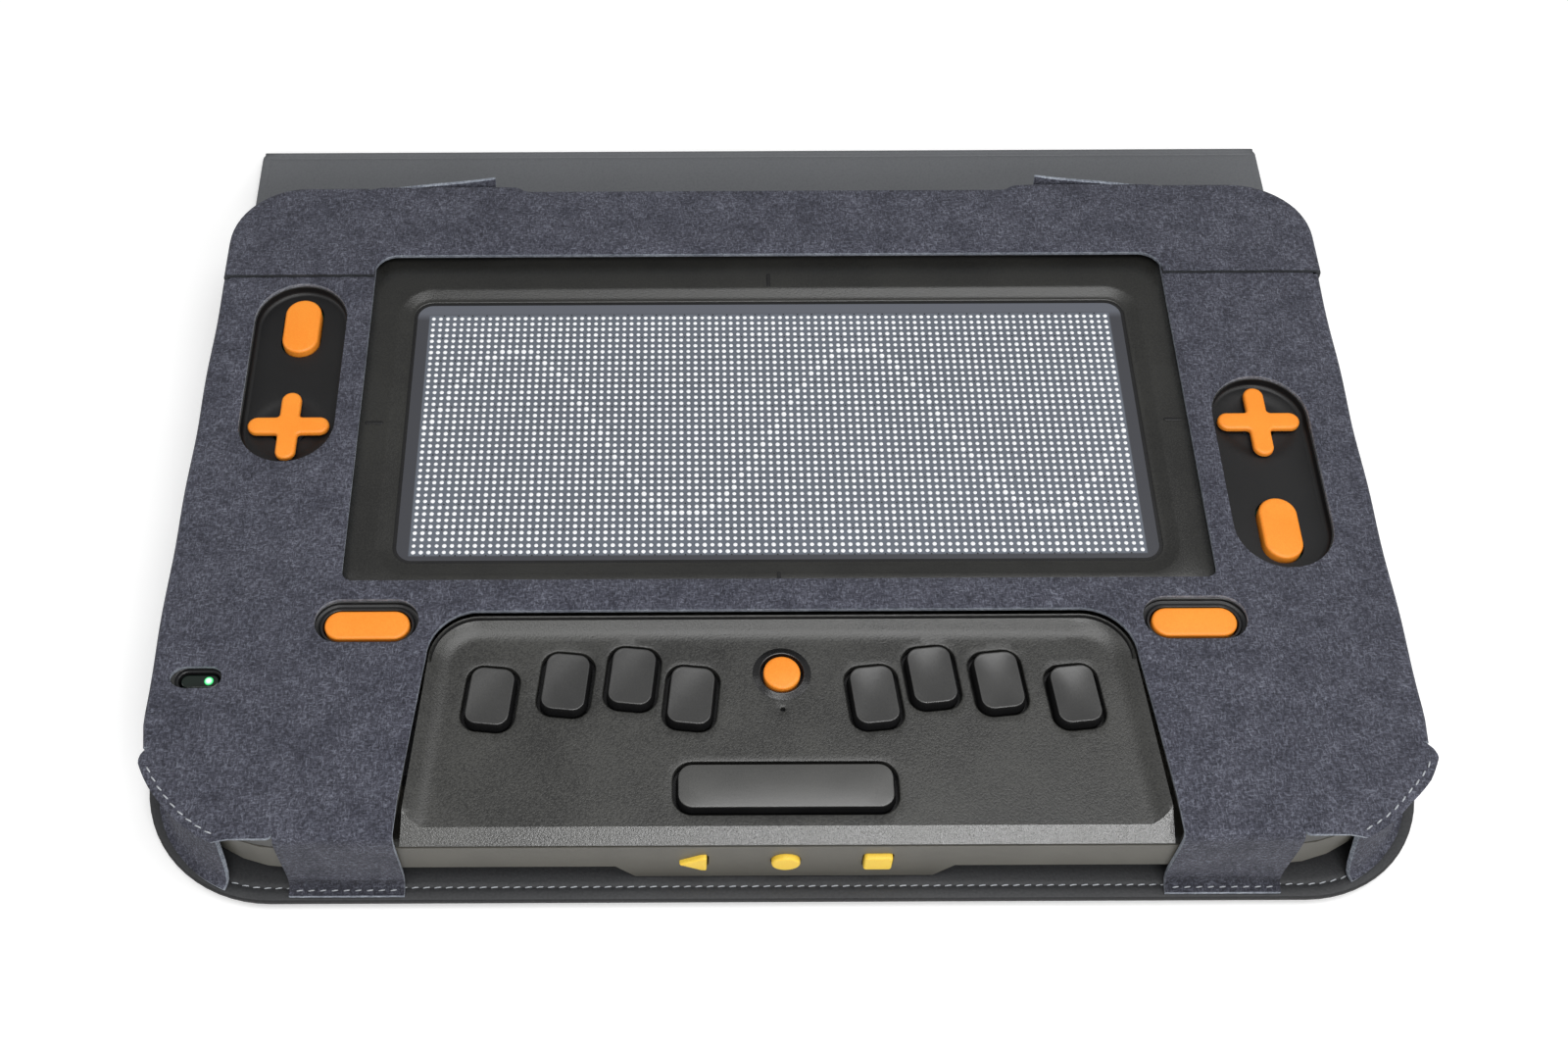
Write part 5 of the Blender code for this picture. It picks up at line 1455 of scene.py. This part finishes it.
def felt_cloth(name, dark, middle, light, fibre=1.0, shaded_before=None):
    """Needled felt: a middle colour clouded by slow noise, short pale fibres from two stretched
    noises at different angles, dark pits between them, a soft nap as bump and sheen. In front
    of the line shaded_before the cloth is in the shade and darker."""
    made, tree, shader, spot = begin_material(name)
    cloud = add_noise(tree, spot, 110.0, 5.0, 0.65)
    wander = add_noise(tree, spot, 420.0, 2.0)
    strands = []
    for angle, stretch in ((0.5, (1.0, 0.28, 1.0)), (-0.9, (0.3, 1.0, 0.6))):
        bent = add_node(
            tree, "VectorMath", {"operation": "MULTIPLY_ADD", 1: (0.0016, 0.0016, 0.0016)},
            _0=wander.outputs["Color"], _2=spot
        )
        turned = add_node(
            tree, "Mapping", {"Rotation": (0.0, 0.3, angle), "Scale": stretch}, Vector=bent
        )
        strands.append(add_noise(tree, turned, 2000.0, 3.0, 0.62))
    most, least = [
        add_node(tree, "Math", {"operation": pick}, _0=strands[0], _1=strands[1])
        for pick in ("MAXIMUM", "MINIMUM")
    ]
    ground = add_mix(tree, dark, middle, add_range(tree, least, 0.33, 0.52, 0.0, 1.0))
    hairs = add_node(
        tree, "MixRGB", {2: tone(*light)}, Fac=add_range(tree, most, 0.54, 0.78, 0.0, fibre),
        Color1=ground
    )
    shaded = add_node(
        tree, "MixRGB", {"blend_type": "MULTIPLY", 0: 1.0}, Color1=hairs,
        Color2=add_node(
            tree, "MixRGB", {1: (0.72, 0.72, 0.74, 1.0), 2: (1.16, 1.15, 1.13, 1.0)},
            Fac=add_range(tree, cloud, 0.36, 0.64, 0.0, 1.0)
        )
    )
    if shaded_before is not None:
        parts = add_node(tree, "SeparateXYZ", (), Vector=spot)
        shade = add_range(
            tree, parts.outputs[1], shaded_before, shaded_before + 1.0 * mm, 0.12, 1.0
        )
        shaded = add_node(
            tree, "MixRGB", {"blend_type": "MULTIPLY", 0: 1.0}, Color1=shaded, Color2=shade
        )
    set_sockets(shader, Base_Color=shaded)
    nap = add_node(tree, "Math", {"operation": "ADD"}, _0=most, _1=least)
    add_bump(shader, nap, 0.28 * mm, 0.8)
    set_sockets(shader, Roughness=0.95, Sheen_Weight=0.05, Sheen_Roughness=0.5)
    return made


felt_face = felt_cloth("felt", (41, 42, 51), (71, 72, 84), (120, 124, 137))
felt_cut = felt_cloth("felt_cut_edge", (104, 110, 120), (146, 153, 165), (190, 197, 208))
flap_cut = felt_cloth(
    "flap_cut_edge", (104, 110, 120), (146, 153, 165), (190, 197, 208), shaded_before=66.0 * mm
)
# The tabs' lower rows and foot take a darker copy of the felt: painted shade under the tab's fold.
tab_foot_painted_shade = felt_cloth("felt_tab_foot_painted_shade", (30, 31, 38), (54, 55, 65), (98, 101, 112))


def mirrored(path):
    """The same points on the other side of the middle, in reverse, so that the turn stays."""
    return path[::-1] * (-1.0, 1.0)


def run(start, end, longest):
    """Points along a straight line from start up to, but without, end."""
    start, end = np.array(start), np.array(end)
    count = max(1, math.ceil(float(np.linalg.norm(end - start)) / longest))
    return start + np.arange(count)[:, None] / count * (end - start)


# The skin's outline: the bay's cut, then from its front right corner round to the strip.
bay_cut = np.concatenate([
    [(-tab_inner, y_fold_front)],
    run(
        (-deck_front_half - 0.4 * mm, -138.0 * mm), (-deck_back_half - 0.4 * mm, y_bay - 16.0 * mm),
        6.0 * mm
    ),
    arc_points(
        (-deck_back_half - 0.4 * mm + bay_cut_corner, y_bay - bay_cut_corner), bay_cut_corner, 180,
        90, 12
    )
])
bay_cut = np.concatenate([bay_cut[:-1], mirrored(bay_cut)])
side_line = np.concatenate([
    run((side_flat, flange_start), (side_flat, y_under_strip), 4.0 * mm),
    [(side_flat, y_under_strip)]
])
right_side = np.concatenate([
    run((tab_inner, y_fold_front), (tab_outer, y_fold_front), 3.6 * mm),
    np.array([(152.5, -149.4), (152.75, -150.3), (153.3, -150.9), (154.2, -151.15)]) * mm,
    run((tab_outer + 3.0 * mm, y_window_front), (169.4 * mm, y_window_front), 4.0 * mm),
    arc_points(flange_centre, flange_radius, *flange_span, 18),
    np.array([(195.1, -125.0), (194.5, -123.4), (193.4, -122.2), (192.3, -121.5)]) * mm, side_line,
    [(window_half, y_under_strip)]
])
window_cut = np.concatenate([
    arc_points(
        (window_half - window_corner, window_front + window_corner), window_corner, 0, -90, 6
    ),
    arc_points(
        (-window_half + window_corner, window_front + window_corner), window_corner, 270, 180, 6
    )
])
skin_outline = np.concatenate([bay_cut[:-1], right_side, window_cut, mirrored(right_side)[:-1]])
skin_holes = [
    *[stadium(spot, *well_cut, steps=14) for spot in well_spots.values()],
    *[
        stadium((spot[0], spot[1] + low_cut_shift), *low_pill_cut, steps=10)
        for spot in low_pill_spots.values()
    ],
    stadium(lens_spot, *lens_cut, steps=8)
]


def felt_skin(flat, height, outlines, scale=1.0):
    """A flat felt sheet's points: three slow sines make it uneven by 0.3 mm. Towards its outlines
    this fades out, and the edge rolls down by the square of the way left to it."""
    x, y = flat.T * scale
    slow = np.sin(x * 61.0 + y * 23.0) + np.sin(y * 74.0 - x * 31.0 + 1.3) + np.sin((x - y) * 109.0)
    near = np.min([reach(flat, outline) for outline in outlines], 0)
    near = np.minimum(near, edge_roll) / edge_roll
    return lifted(flat, height + (slow * 0.1 * mm * near - edge_drop * (1.0 - near) ** 2))


def side_swell(points, places, swells, start, span):
    """How far the felt stands off the display's side: a curve along the display, read off at a
    point's y, times the point's way from start over span."""
    share = np.clip((np.abs(points[..., 0]) - start) / span, 0.0, 1.0)
    right = np.interp(points[..., 1], places, swells[0])
    left = np.interp(points[..., 1], places, swells[1])
    return np.where(points[..., 0] > 0, right, -left) * share


swell_span = (185.5 * mm, 6.0 * mm)
sleeve_places = np.array([-150.0, -126.0, -121.0, -112.0, -60.0, 0.0, 60.0, 75.0]) * mm
sleeve_swells = np.array([
    (1.6, 2.2, 1.4, 2.4, 2.2, 2.1, 2.6, 3.0), (0.2, 0.8, 1.2, 2.7, 2.5, 1.5, 0.8, 0.5)
]) * mm
skin_flat, skin_faces = plate(skin_outline, skin_holes, 5.0 * mm, bands=(1.6 * mm,))
skin_points = felt_skin(skin_flat, z_felt_top, [skin_outline, *skin_holes])
flange_away = np.hypot(
    np.abs(skin_flat[:, 0]) - flange_centre[0], skin_flat[:, 1] - flange_centre[1]
)
at_corner = (np.abs(skin_flat[:, 0]) > flange_centre[0]) & (
    skin_flat[:, 1] < flange_start - 0.4 * mm
)
flange_share = np.clip((flange_away - 43.0 * mm) / (5.6 * mm), 0.0, 1.0) * at_corner
skin_points[:, 2] -= 0.9 * mm * flange_share**2

side_profile = np.array([
    (0.9, 39.5), (1.6, 39.0), (2.05, 38.2), (2.2, 37.2), (2.25, 33.0), (2.35, 27.0), (2.4, 21.0),
    (2.5, 15.0), (2.7, 11.5), (3.2, 9.4), (4.1, 8.2), (5.4, 7.7), (8.0, 7.6)
]) * mm
side_shown = side_line[side_line[:, 1] < 63.5 * mm]
wall_y = np.concatenate([side_shown, [(side_flat, 63.6 * mm)]])
side_rows = [lifted(wall_y, z_felt_top - edge_drop)]
for out, high in side_profile:
    loose = min(1.0, (z_felt_top - high) / (12.0 * mm))
    swell = 0.35 * mm * np.sin(wall_y[:, 1] * 55.0 + 0.8) * loose
    swell = swell + 0.2 * mm * np.sin(wall_y[:, 1] * 131.0 + high * 300.0)
    settle = 1.0 if high > 9.0 * mm else 0.4
    past = np.clip(flange_centre[1] - wall_y[:, 1], 0.0, None)
    turn_in = wall_radius - np.sqrt(wall_radius**2 - past**2)
    under = np.clip((38.2 * mm - high) / (3.0 * mm), 0.0, 1.0)
    side_x = side_flat + out + settle * swell - under * turn_in
    side_rows.append(lifted(np.stack([side_x, wall_y[:, 1]], 1), high))
side_rows = np.array(side_rows)

tab_track = np.array([
    (-149.4, 39.45), (-150.4, 39.25), (-151.3, 38.6), (-151.95, 37.4), (-152.2, 35.5),
    (-152.25, 31.0), (-152.2, 25.0), (-152.1, 19.0), (-152.1, 13.5), (-152.35, 10.4), (-152.9, 8.7),
    (-153.9, 7.85), (-155.2, 7.65), (-156.4, 7.6)
]) * mm
tab_x = np.concatenate([run((tab_inner, 0.0), (tab_outer, 0.0), 3.6 * mm)[:, 0], [tab_outer]])
tab_rows = grid(tab_x, tab_track[:, :1], tab_track[:, 1:])
tab_foot_row = 9
tab_depth = np.clip((tab_track[:, 1] - 8.0 * mm) / (20.0 * mm), 0.0, 1.0)
tab_depth *= np.clip((39.0 * mm - tab_track[:, 1]) / (6.0 * mm), 0.0, 1.0)
tab_rows[..., 1] += tab_depth[:, None] * 0.3 * mm * np.sin(tab_x * 190.0)[None]


def finish_felt(piece, body, stands_for=()):
    """Gives a skin the felt's thickness inwards, its cut edges the paler colour and a round, hides
    the CAD nodes it stands for and hangs it on the body that carries it."""
    wall = piece.modifiers.new("thickness", "SOLIDIFY")
    wall.thickness = felt
    wall.offset = -1.0
    wall.material_offset_rim = 1
    edge = piece.modifiers.new("edge", "BEVEL")
    edge.width = 0.3 * mm
    edge.segments = 2
    edge.limit_method = "ANGLE"
    edge.angle_limit = math.radians(50.0)
    edge.use_clamp_overlap = True
    edge.harden_normals = False
    for node in stands_for:
        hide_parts(node)
    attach(piece, body)


sleeve_parts = [(skin_points, skin_faces.tolist())]
sleeve_slots = [0] * len(skin_faces)
# Rows from the foot row on take slot 2, the darker felt that is painted shade; for the side walls
# that row lies past their last.
for rows, foot_row in ((side_rows, len(side_rows)), (tab_rows, tab_foot_row)):
    for side in (1, -1):
        faces = ring_faces(rows, closed=False, turned=side > 0)
        sleeve_parts.append((rows * (side, 1.0, 1.0), faces))
        across = rows.shape[1] - 1
        sleeve_slots += [2 * int(number // across >= foot_row) for number in range(len(faces))]
sleeve_points, sleeve_faces = joined(*sleeve_parts)
sleeve_points[:, 0] += side_swell(sleeve_points, sleeve_places, sleeve_swells, *swell_span)
sleeve = new_piece(
    "felt_sleeve", sleeve_points, sleeve_faces, [felt_face, felt_cut, tab_foot_painted_shade, felt_cut],
    sleeve_slots, weld=0.05 * mm, sharp=70.0
)
finish_felt(sleeve, "device", ["felt_top", "felt_wall_left", "felt_wall_right"])


def felt_wall(name, rows, side, body):
    """A wall of its own from its rows of points on the right, mirrored for the left."""
    faces = ring_faces(rows, closed=False, turned=side > 0)
    name = f"{name}_right" if side > 0 else f"{name}_left"
    wall = new_piece(name, rows * (side, 1.0, 1.0), faces, [felt_face, felt_cut], sharp=70.0)
    finish_felt(wall, body)
    return wall


# Corner walls: separate cuts that turn the front corners, set back under the sewn flange, and
# flare out to a foot on the base. Their upper edge is turned outwards under the skin's edge.
corner_profile = np.array([
    (47.5, 37.3, 0.0), (46.0, 37.35, 0.0), (44.6, 37.15, 0.0), (43.7, 36.4, 0.0),
    (43.35, 34.5, 0.0), (43.35, 29.0, 0.07), (43.35, 22.0, 0.2), (43.35, 15.0, 0.4),
    (43.35, 11.0, 0.56), (43.35, 8.9, 0.68), (43.35, 8.0, 0.78), (43.35, 7.7, 0.88),
    (43.35, 7.6, 0.97)
]) * (mm, mm, 1.0)
corner_starts = {-1: -63.6, 1: -60.6}
foot_half = 198.0 * mm
base_corner_centre = np.array([foot_half - base_corner_right, y_front + base_corner_right])


def corner_wall(side):
    """The profile turned round the corner's centre, its radius a little uneven, like cloth. Low
    down it flares out by a share of the way to the line of the foot on the base. It starts
    further back the higher it is, and its rear end tucks in under the skin's own fold."""
    radius, high, outward = np.split(corner_profile, 3, 1)
    rise = np.clip((high - 8.0 * mm) / (28.0 * mm), 0.0, 1.0)
    first = corner_starts[side] + 6.0 * rise
    angle = np.radians(first + np.linspace(0.0, 1.0, 30)[None] * (-12.0 - first))
    apart = base_corner_centre - np.array(flange_centre)
    along = apart[0] * np.cos(angle) + apart[1] * np.sin(angle)
    edge_away = along + np.sqrt(base_corner_right**2 - (apart**2).sum() + along**2)
    edge_away = np.minimum(edge_away, (foot_half - flange_centre[0]) / np.cos(angle))
    radius = radius + outward * (edge_away - radius)
    loose = np.clip((high - 8.0 * mm) / (12.0 * mm), 0.2, 1.0)
    uneven = 0.3 * mm * np.sin(angle * 9.0 + side) + 0.2 * mm * np.sin(angle * 21.0 + high * 260.0)
    behind = np.clip((np.degrees(angle) + 21.5) / 2.5, 0.0, 1.0)
    tucked = np.where(high > 9.5 * mm, np.minimum(radius, 43.3 * mm), radius)
    radius = radius + (tucked - 0.5 * mm - radius) * behind + loose * uneven * (1.0 - behind)
    rows = grid(
        flange_centre[0] + radius * np.cos(angle), flange_centre[1] + radius * np.sin(angle), high
    )
    wall = felt_wall("felt_corner", rows, side, "device")


for side in (-1, 1):
    corner_wall(side)


# Tab stitches: the same thread in one row along the foot of both front tabs, which it holds on
# the base.
tab_seam_y = -154.7 * mm
tab_seam_z = 7.7 * mm
tab_line = np.array([
    (-tab_outer + 1.0 * mm, tab_seam_y, tab_seam_z), (-tab_inner - 1.0 * mm, tab_seam_y, tab_seam_z)
])
thread_run("tab_stitches", [tab_line, tab_line * (-1.0, 1.0, 1.0)])


# Flange stitches: the same thread, 2.3 mm inside the sewn edge of both front corners. It joins
# the sleeve's skin to the corner walls.
flange_line = arc_points(flange_centre, seam_radius, flange_span[0] - 0.6, flange_span[1] - 1.6, 24)
flange_line = lifted(flange_line, z_felt_top - 0.3 * mm)
flange_lines = [flange_line, flange_line * (-1.0, 1.0, 1.0)]
for line in flange_lines:
    line[:, 0] += side_swell(line, sleeve_places, sleeve_swells, *swell_span)
thread_run("flange_stitches", flange_lines, radius=0.25 * mm)


# Rear flap: a felt strip behind the display that laps over the sleeve, with walls round the rear
# corners. It is only joined to the base, so it opens backwards; the walls' free ends lean out.
z_strip_top = 41.6 * mm
strip_flat = 192.2 * mm
y_seam = 63.925 * mm
y_strip_window = 72.7 * mm
strip_window_corner = 8.0 * mm
y_strip_back = 105.9 * mm
y_strip_notch = 103.1 * mm
strip_back_flat = 104.3 * mm
strip_corner = 24.0 * mm
strip_step = 88.0 * mm
strip_folded = 146.0 * mm
free_end = 100.0 * mm

strip_turn = arc_points(
    (strip_flat - strip_corner, strip_back_flat - strip_corner), strip_corner, 0, 90, 14
)
strip_side = np.concatenate([run((strip_flat, y_seam), strip_turn[0], 4.0 * mm), strip_turn])
strip_rear = np.concatenate([
    strip_side,
    run((strip_turn[-1][0] - 3.0 * mm, strip_back_flat), (strip_folded, strip_back_flat), 4.0 * mm),
    [(strip_folded, strip_back_flat)]
])
strip_right = np.concatenate([
    run((window_half + 0.2 * mm, y_seam), (strip_flat, y_seam), 4.0 * mm), strip_rear,
    [(strip_folded - 2.0 * mm, strip_back_flat + 0.6 * mm)],
    run(
        (strip_folded - 5.0 * mm, y_strip_back - 0.4 * mm),
        (strip_step + 4.0 * mm, y_strip_back - 0.4 * mm), 5.0 * mm
    ),
    np.array([(92.0, 105.3), (90.0, 104.6), (88.8, 103.6), (87.4, 103.15), (85.0, 103.1)]) * mm
])
strip_window = arc_points(
    (-window_half + strip_window_corner, y_strip_window - strip_window_corner), strip_window_corner,
    176, 90, 8
)
strip_outline = np.concatenate([
    strip_window, mirrored(strip_window), strip_right,
    run((84.0 * mm, y_strip_notch), (-84.0 * mm, y_strip_notch), 8.0 * mm)[1:],
    mirrored(strip_right)
])
strip_flat_points, strip_faces = plate(strip_outline, (), 5.0 * mm, bands=(1.6 * mm,))
strip_points = felt_skin(strip_flat_points, z_strip_top, [strip_outline], 1.3)
flap_profile = np.array([
    (0.9, 41.1), (1.5, 40.5), (1.85, 39.6), (1.95, 38.0), (1.95, 33.0), (1.95, 27.0), (1.95, 20.0),
    (1.95, 13.0), (1.95, 8.5), (1.95, 6.3)
]) * mm


def flap_wall(side):
    """The flap's profile carried round a rear corner, as rows of points."""
    steps = bisectors(strip_rear, closed=False)
    steps[0], steps[-1] = (1.0, 0.0), (0.0, 1.0)
    rows = [lifted(strip_rear, z_strip_top - edge_drop)]
    length = np.concatenate([[0.0], np.cumsum(np.linalg.norm(np.diff(strip_rear, axis=0), axis=1))])
    for out, high in flap_profile:
        loose = min(1.0, (z_strip_top - high) / (10.0 * mm))
        sway = 0.3 * mm * np.sin(length * 70.0 + side) * loose
        rows.append(lifted(strip_rear + (out + sway[:, None]) * steps, high))
    return np.array(rows) * (side, 1.0, 1.0)


flap_parts = [(strip_points, strip_faces.tolist())]
for side in (1, -1):
    rows = flap_wall(side)
    flap_parts.append((rows, ring_faces(rows, closed=False, turned=side > 0)))
flap_points, flap_faces = joined(*flap_parts)
flap_points[:, 0] += side_swell(
    flap_points, np.array([60.0, 110.0]) * mm, np.array([(3.0, 3.6), (0.5, 0.3)]) * mm, 150.0 * mm,
    40.0 * mm
)
flap = new_piece(
    "felt_flap", flap_points, flap_faces, [felt_face, flap_cut], weld=0.05 * mm, sharp=70.0
)
finish_felt(flap, "rear_flap", ["flap_strip", "flap_wall_left", "flap_wall_right"])


# Free ends of the flap's walls: the same felt, not sewn to anything past the fold, so they lean
# out and give way when the flap is opened.
free_lean = 6.2 * mm
free_heights = np.array([39.7, 36.0, 30.0, 24.0, 17.0, 11.0, 6.3])[:, None] * mm


def free_wall(side):
    """The rear wall's free end: it leaves the fold plumb and leans out more and more to its end,
    by a power of the way along it and a power of the height."""
    share, high = np.linspace(0.0, 1.0, 16)[None], free_heights
    x = strip_folded + 1.5 * mm + share * (free_end - strip_folded - 1.5 * mm)
    lean = free_lean * share**1.3 * ((high - 6.0 * mm) / (33.7 * mm)) ** 1.4
    y = strip_back_flat + 1.9 * mm + lean + 0.25 * mm * np.sin(share * 7.0 + high * 120.0)
    wall = felt_wall("flap_end", grid(x, y, high), side, "rear_flap")
    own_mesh(wall)


for side in (-1, 1):
    free_wall(side)


# Back openings and hidden works: the power button, the two sockets, feet, screws, boards,
# modules and battery keep their CAD shape, with rounded edges where they can be seen.
steel, steel_tree, steel_shader, steel_at = begin_material("brushed_steel")
steel_turn = add_node(steel_tree, "Mapping", {"Scale": (1.0, 14.0, 14.0)}, Vector=steel_at)
steel_noise = add_noise(steel_tree, steel_turn, 260.0, 3.0)
add_colour(steel_shader, (150, 151, 153), (188, 189, 191), steel_noise)
set_sockets(
    steel_shader, Metallic=1.0, Roughness=add_range(steel_tree, steel_noise, 0.3, 0.7, 0.22, 0.4)
)
rubber = moulded("foot_rubber", (30, 30, 31), (40, 40, 41), 70.0, 1500.0, 0.04 * mm, (0.75, 0.85))
board_green = moulded(
    "circuit_board", (22, 66, 44), (32, 84, 56), 90.0, 900.0, 0.02 * mm, (0.35, 0.5)
)
inner_plastic = moulded(
    "inner_plastic", (60, 61, 64), (74, 75, 78), 60.0, 1700.0, 0.03 * mm, (0.45, 0.6)
)
dressed_copy("power_button", "power_cap", smooth_black, "power_button", 0.25 * mm)
for socket_name in ("charge_socket", "host_socket"):
    dressed_copy(socket_name, f"{socket_name}_shell", steel, "device", 0.12 * mm)
kept = {
    steel: ["case_screw_1", "case_screw_2", "case_screw_3", "case_screw_4"],
    rubber: ["foot_1", "foot_2", "foot_3", "foot_4"],
    board_green: ["main_board", "key_board", "module_board", "pad_board_left", "pad_board_right"],
    inner_plastic: [
        "battery_pack", "microphone", "speaker", "pad_pivot_left", "pad_pivot_right",
        *[f"pin_module_{number}" for number in range(1, 6)]
    ]
}
for finish, names in kept.items():
    for name in names:
        node = bpy.data.objects[name]
        node.data.materials.clear()
        node.data.materials.append(finish)
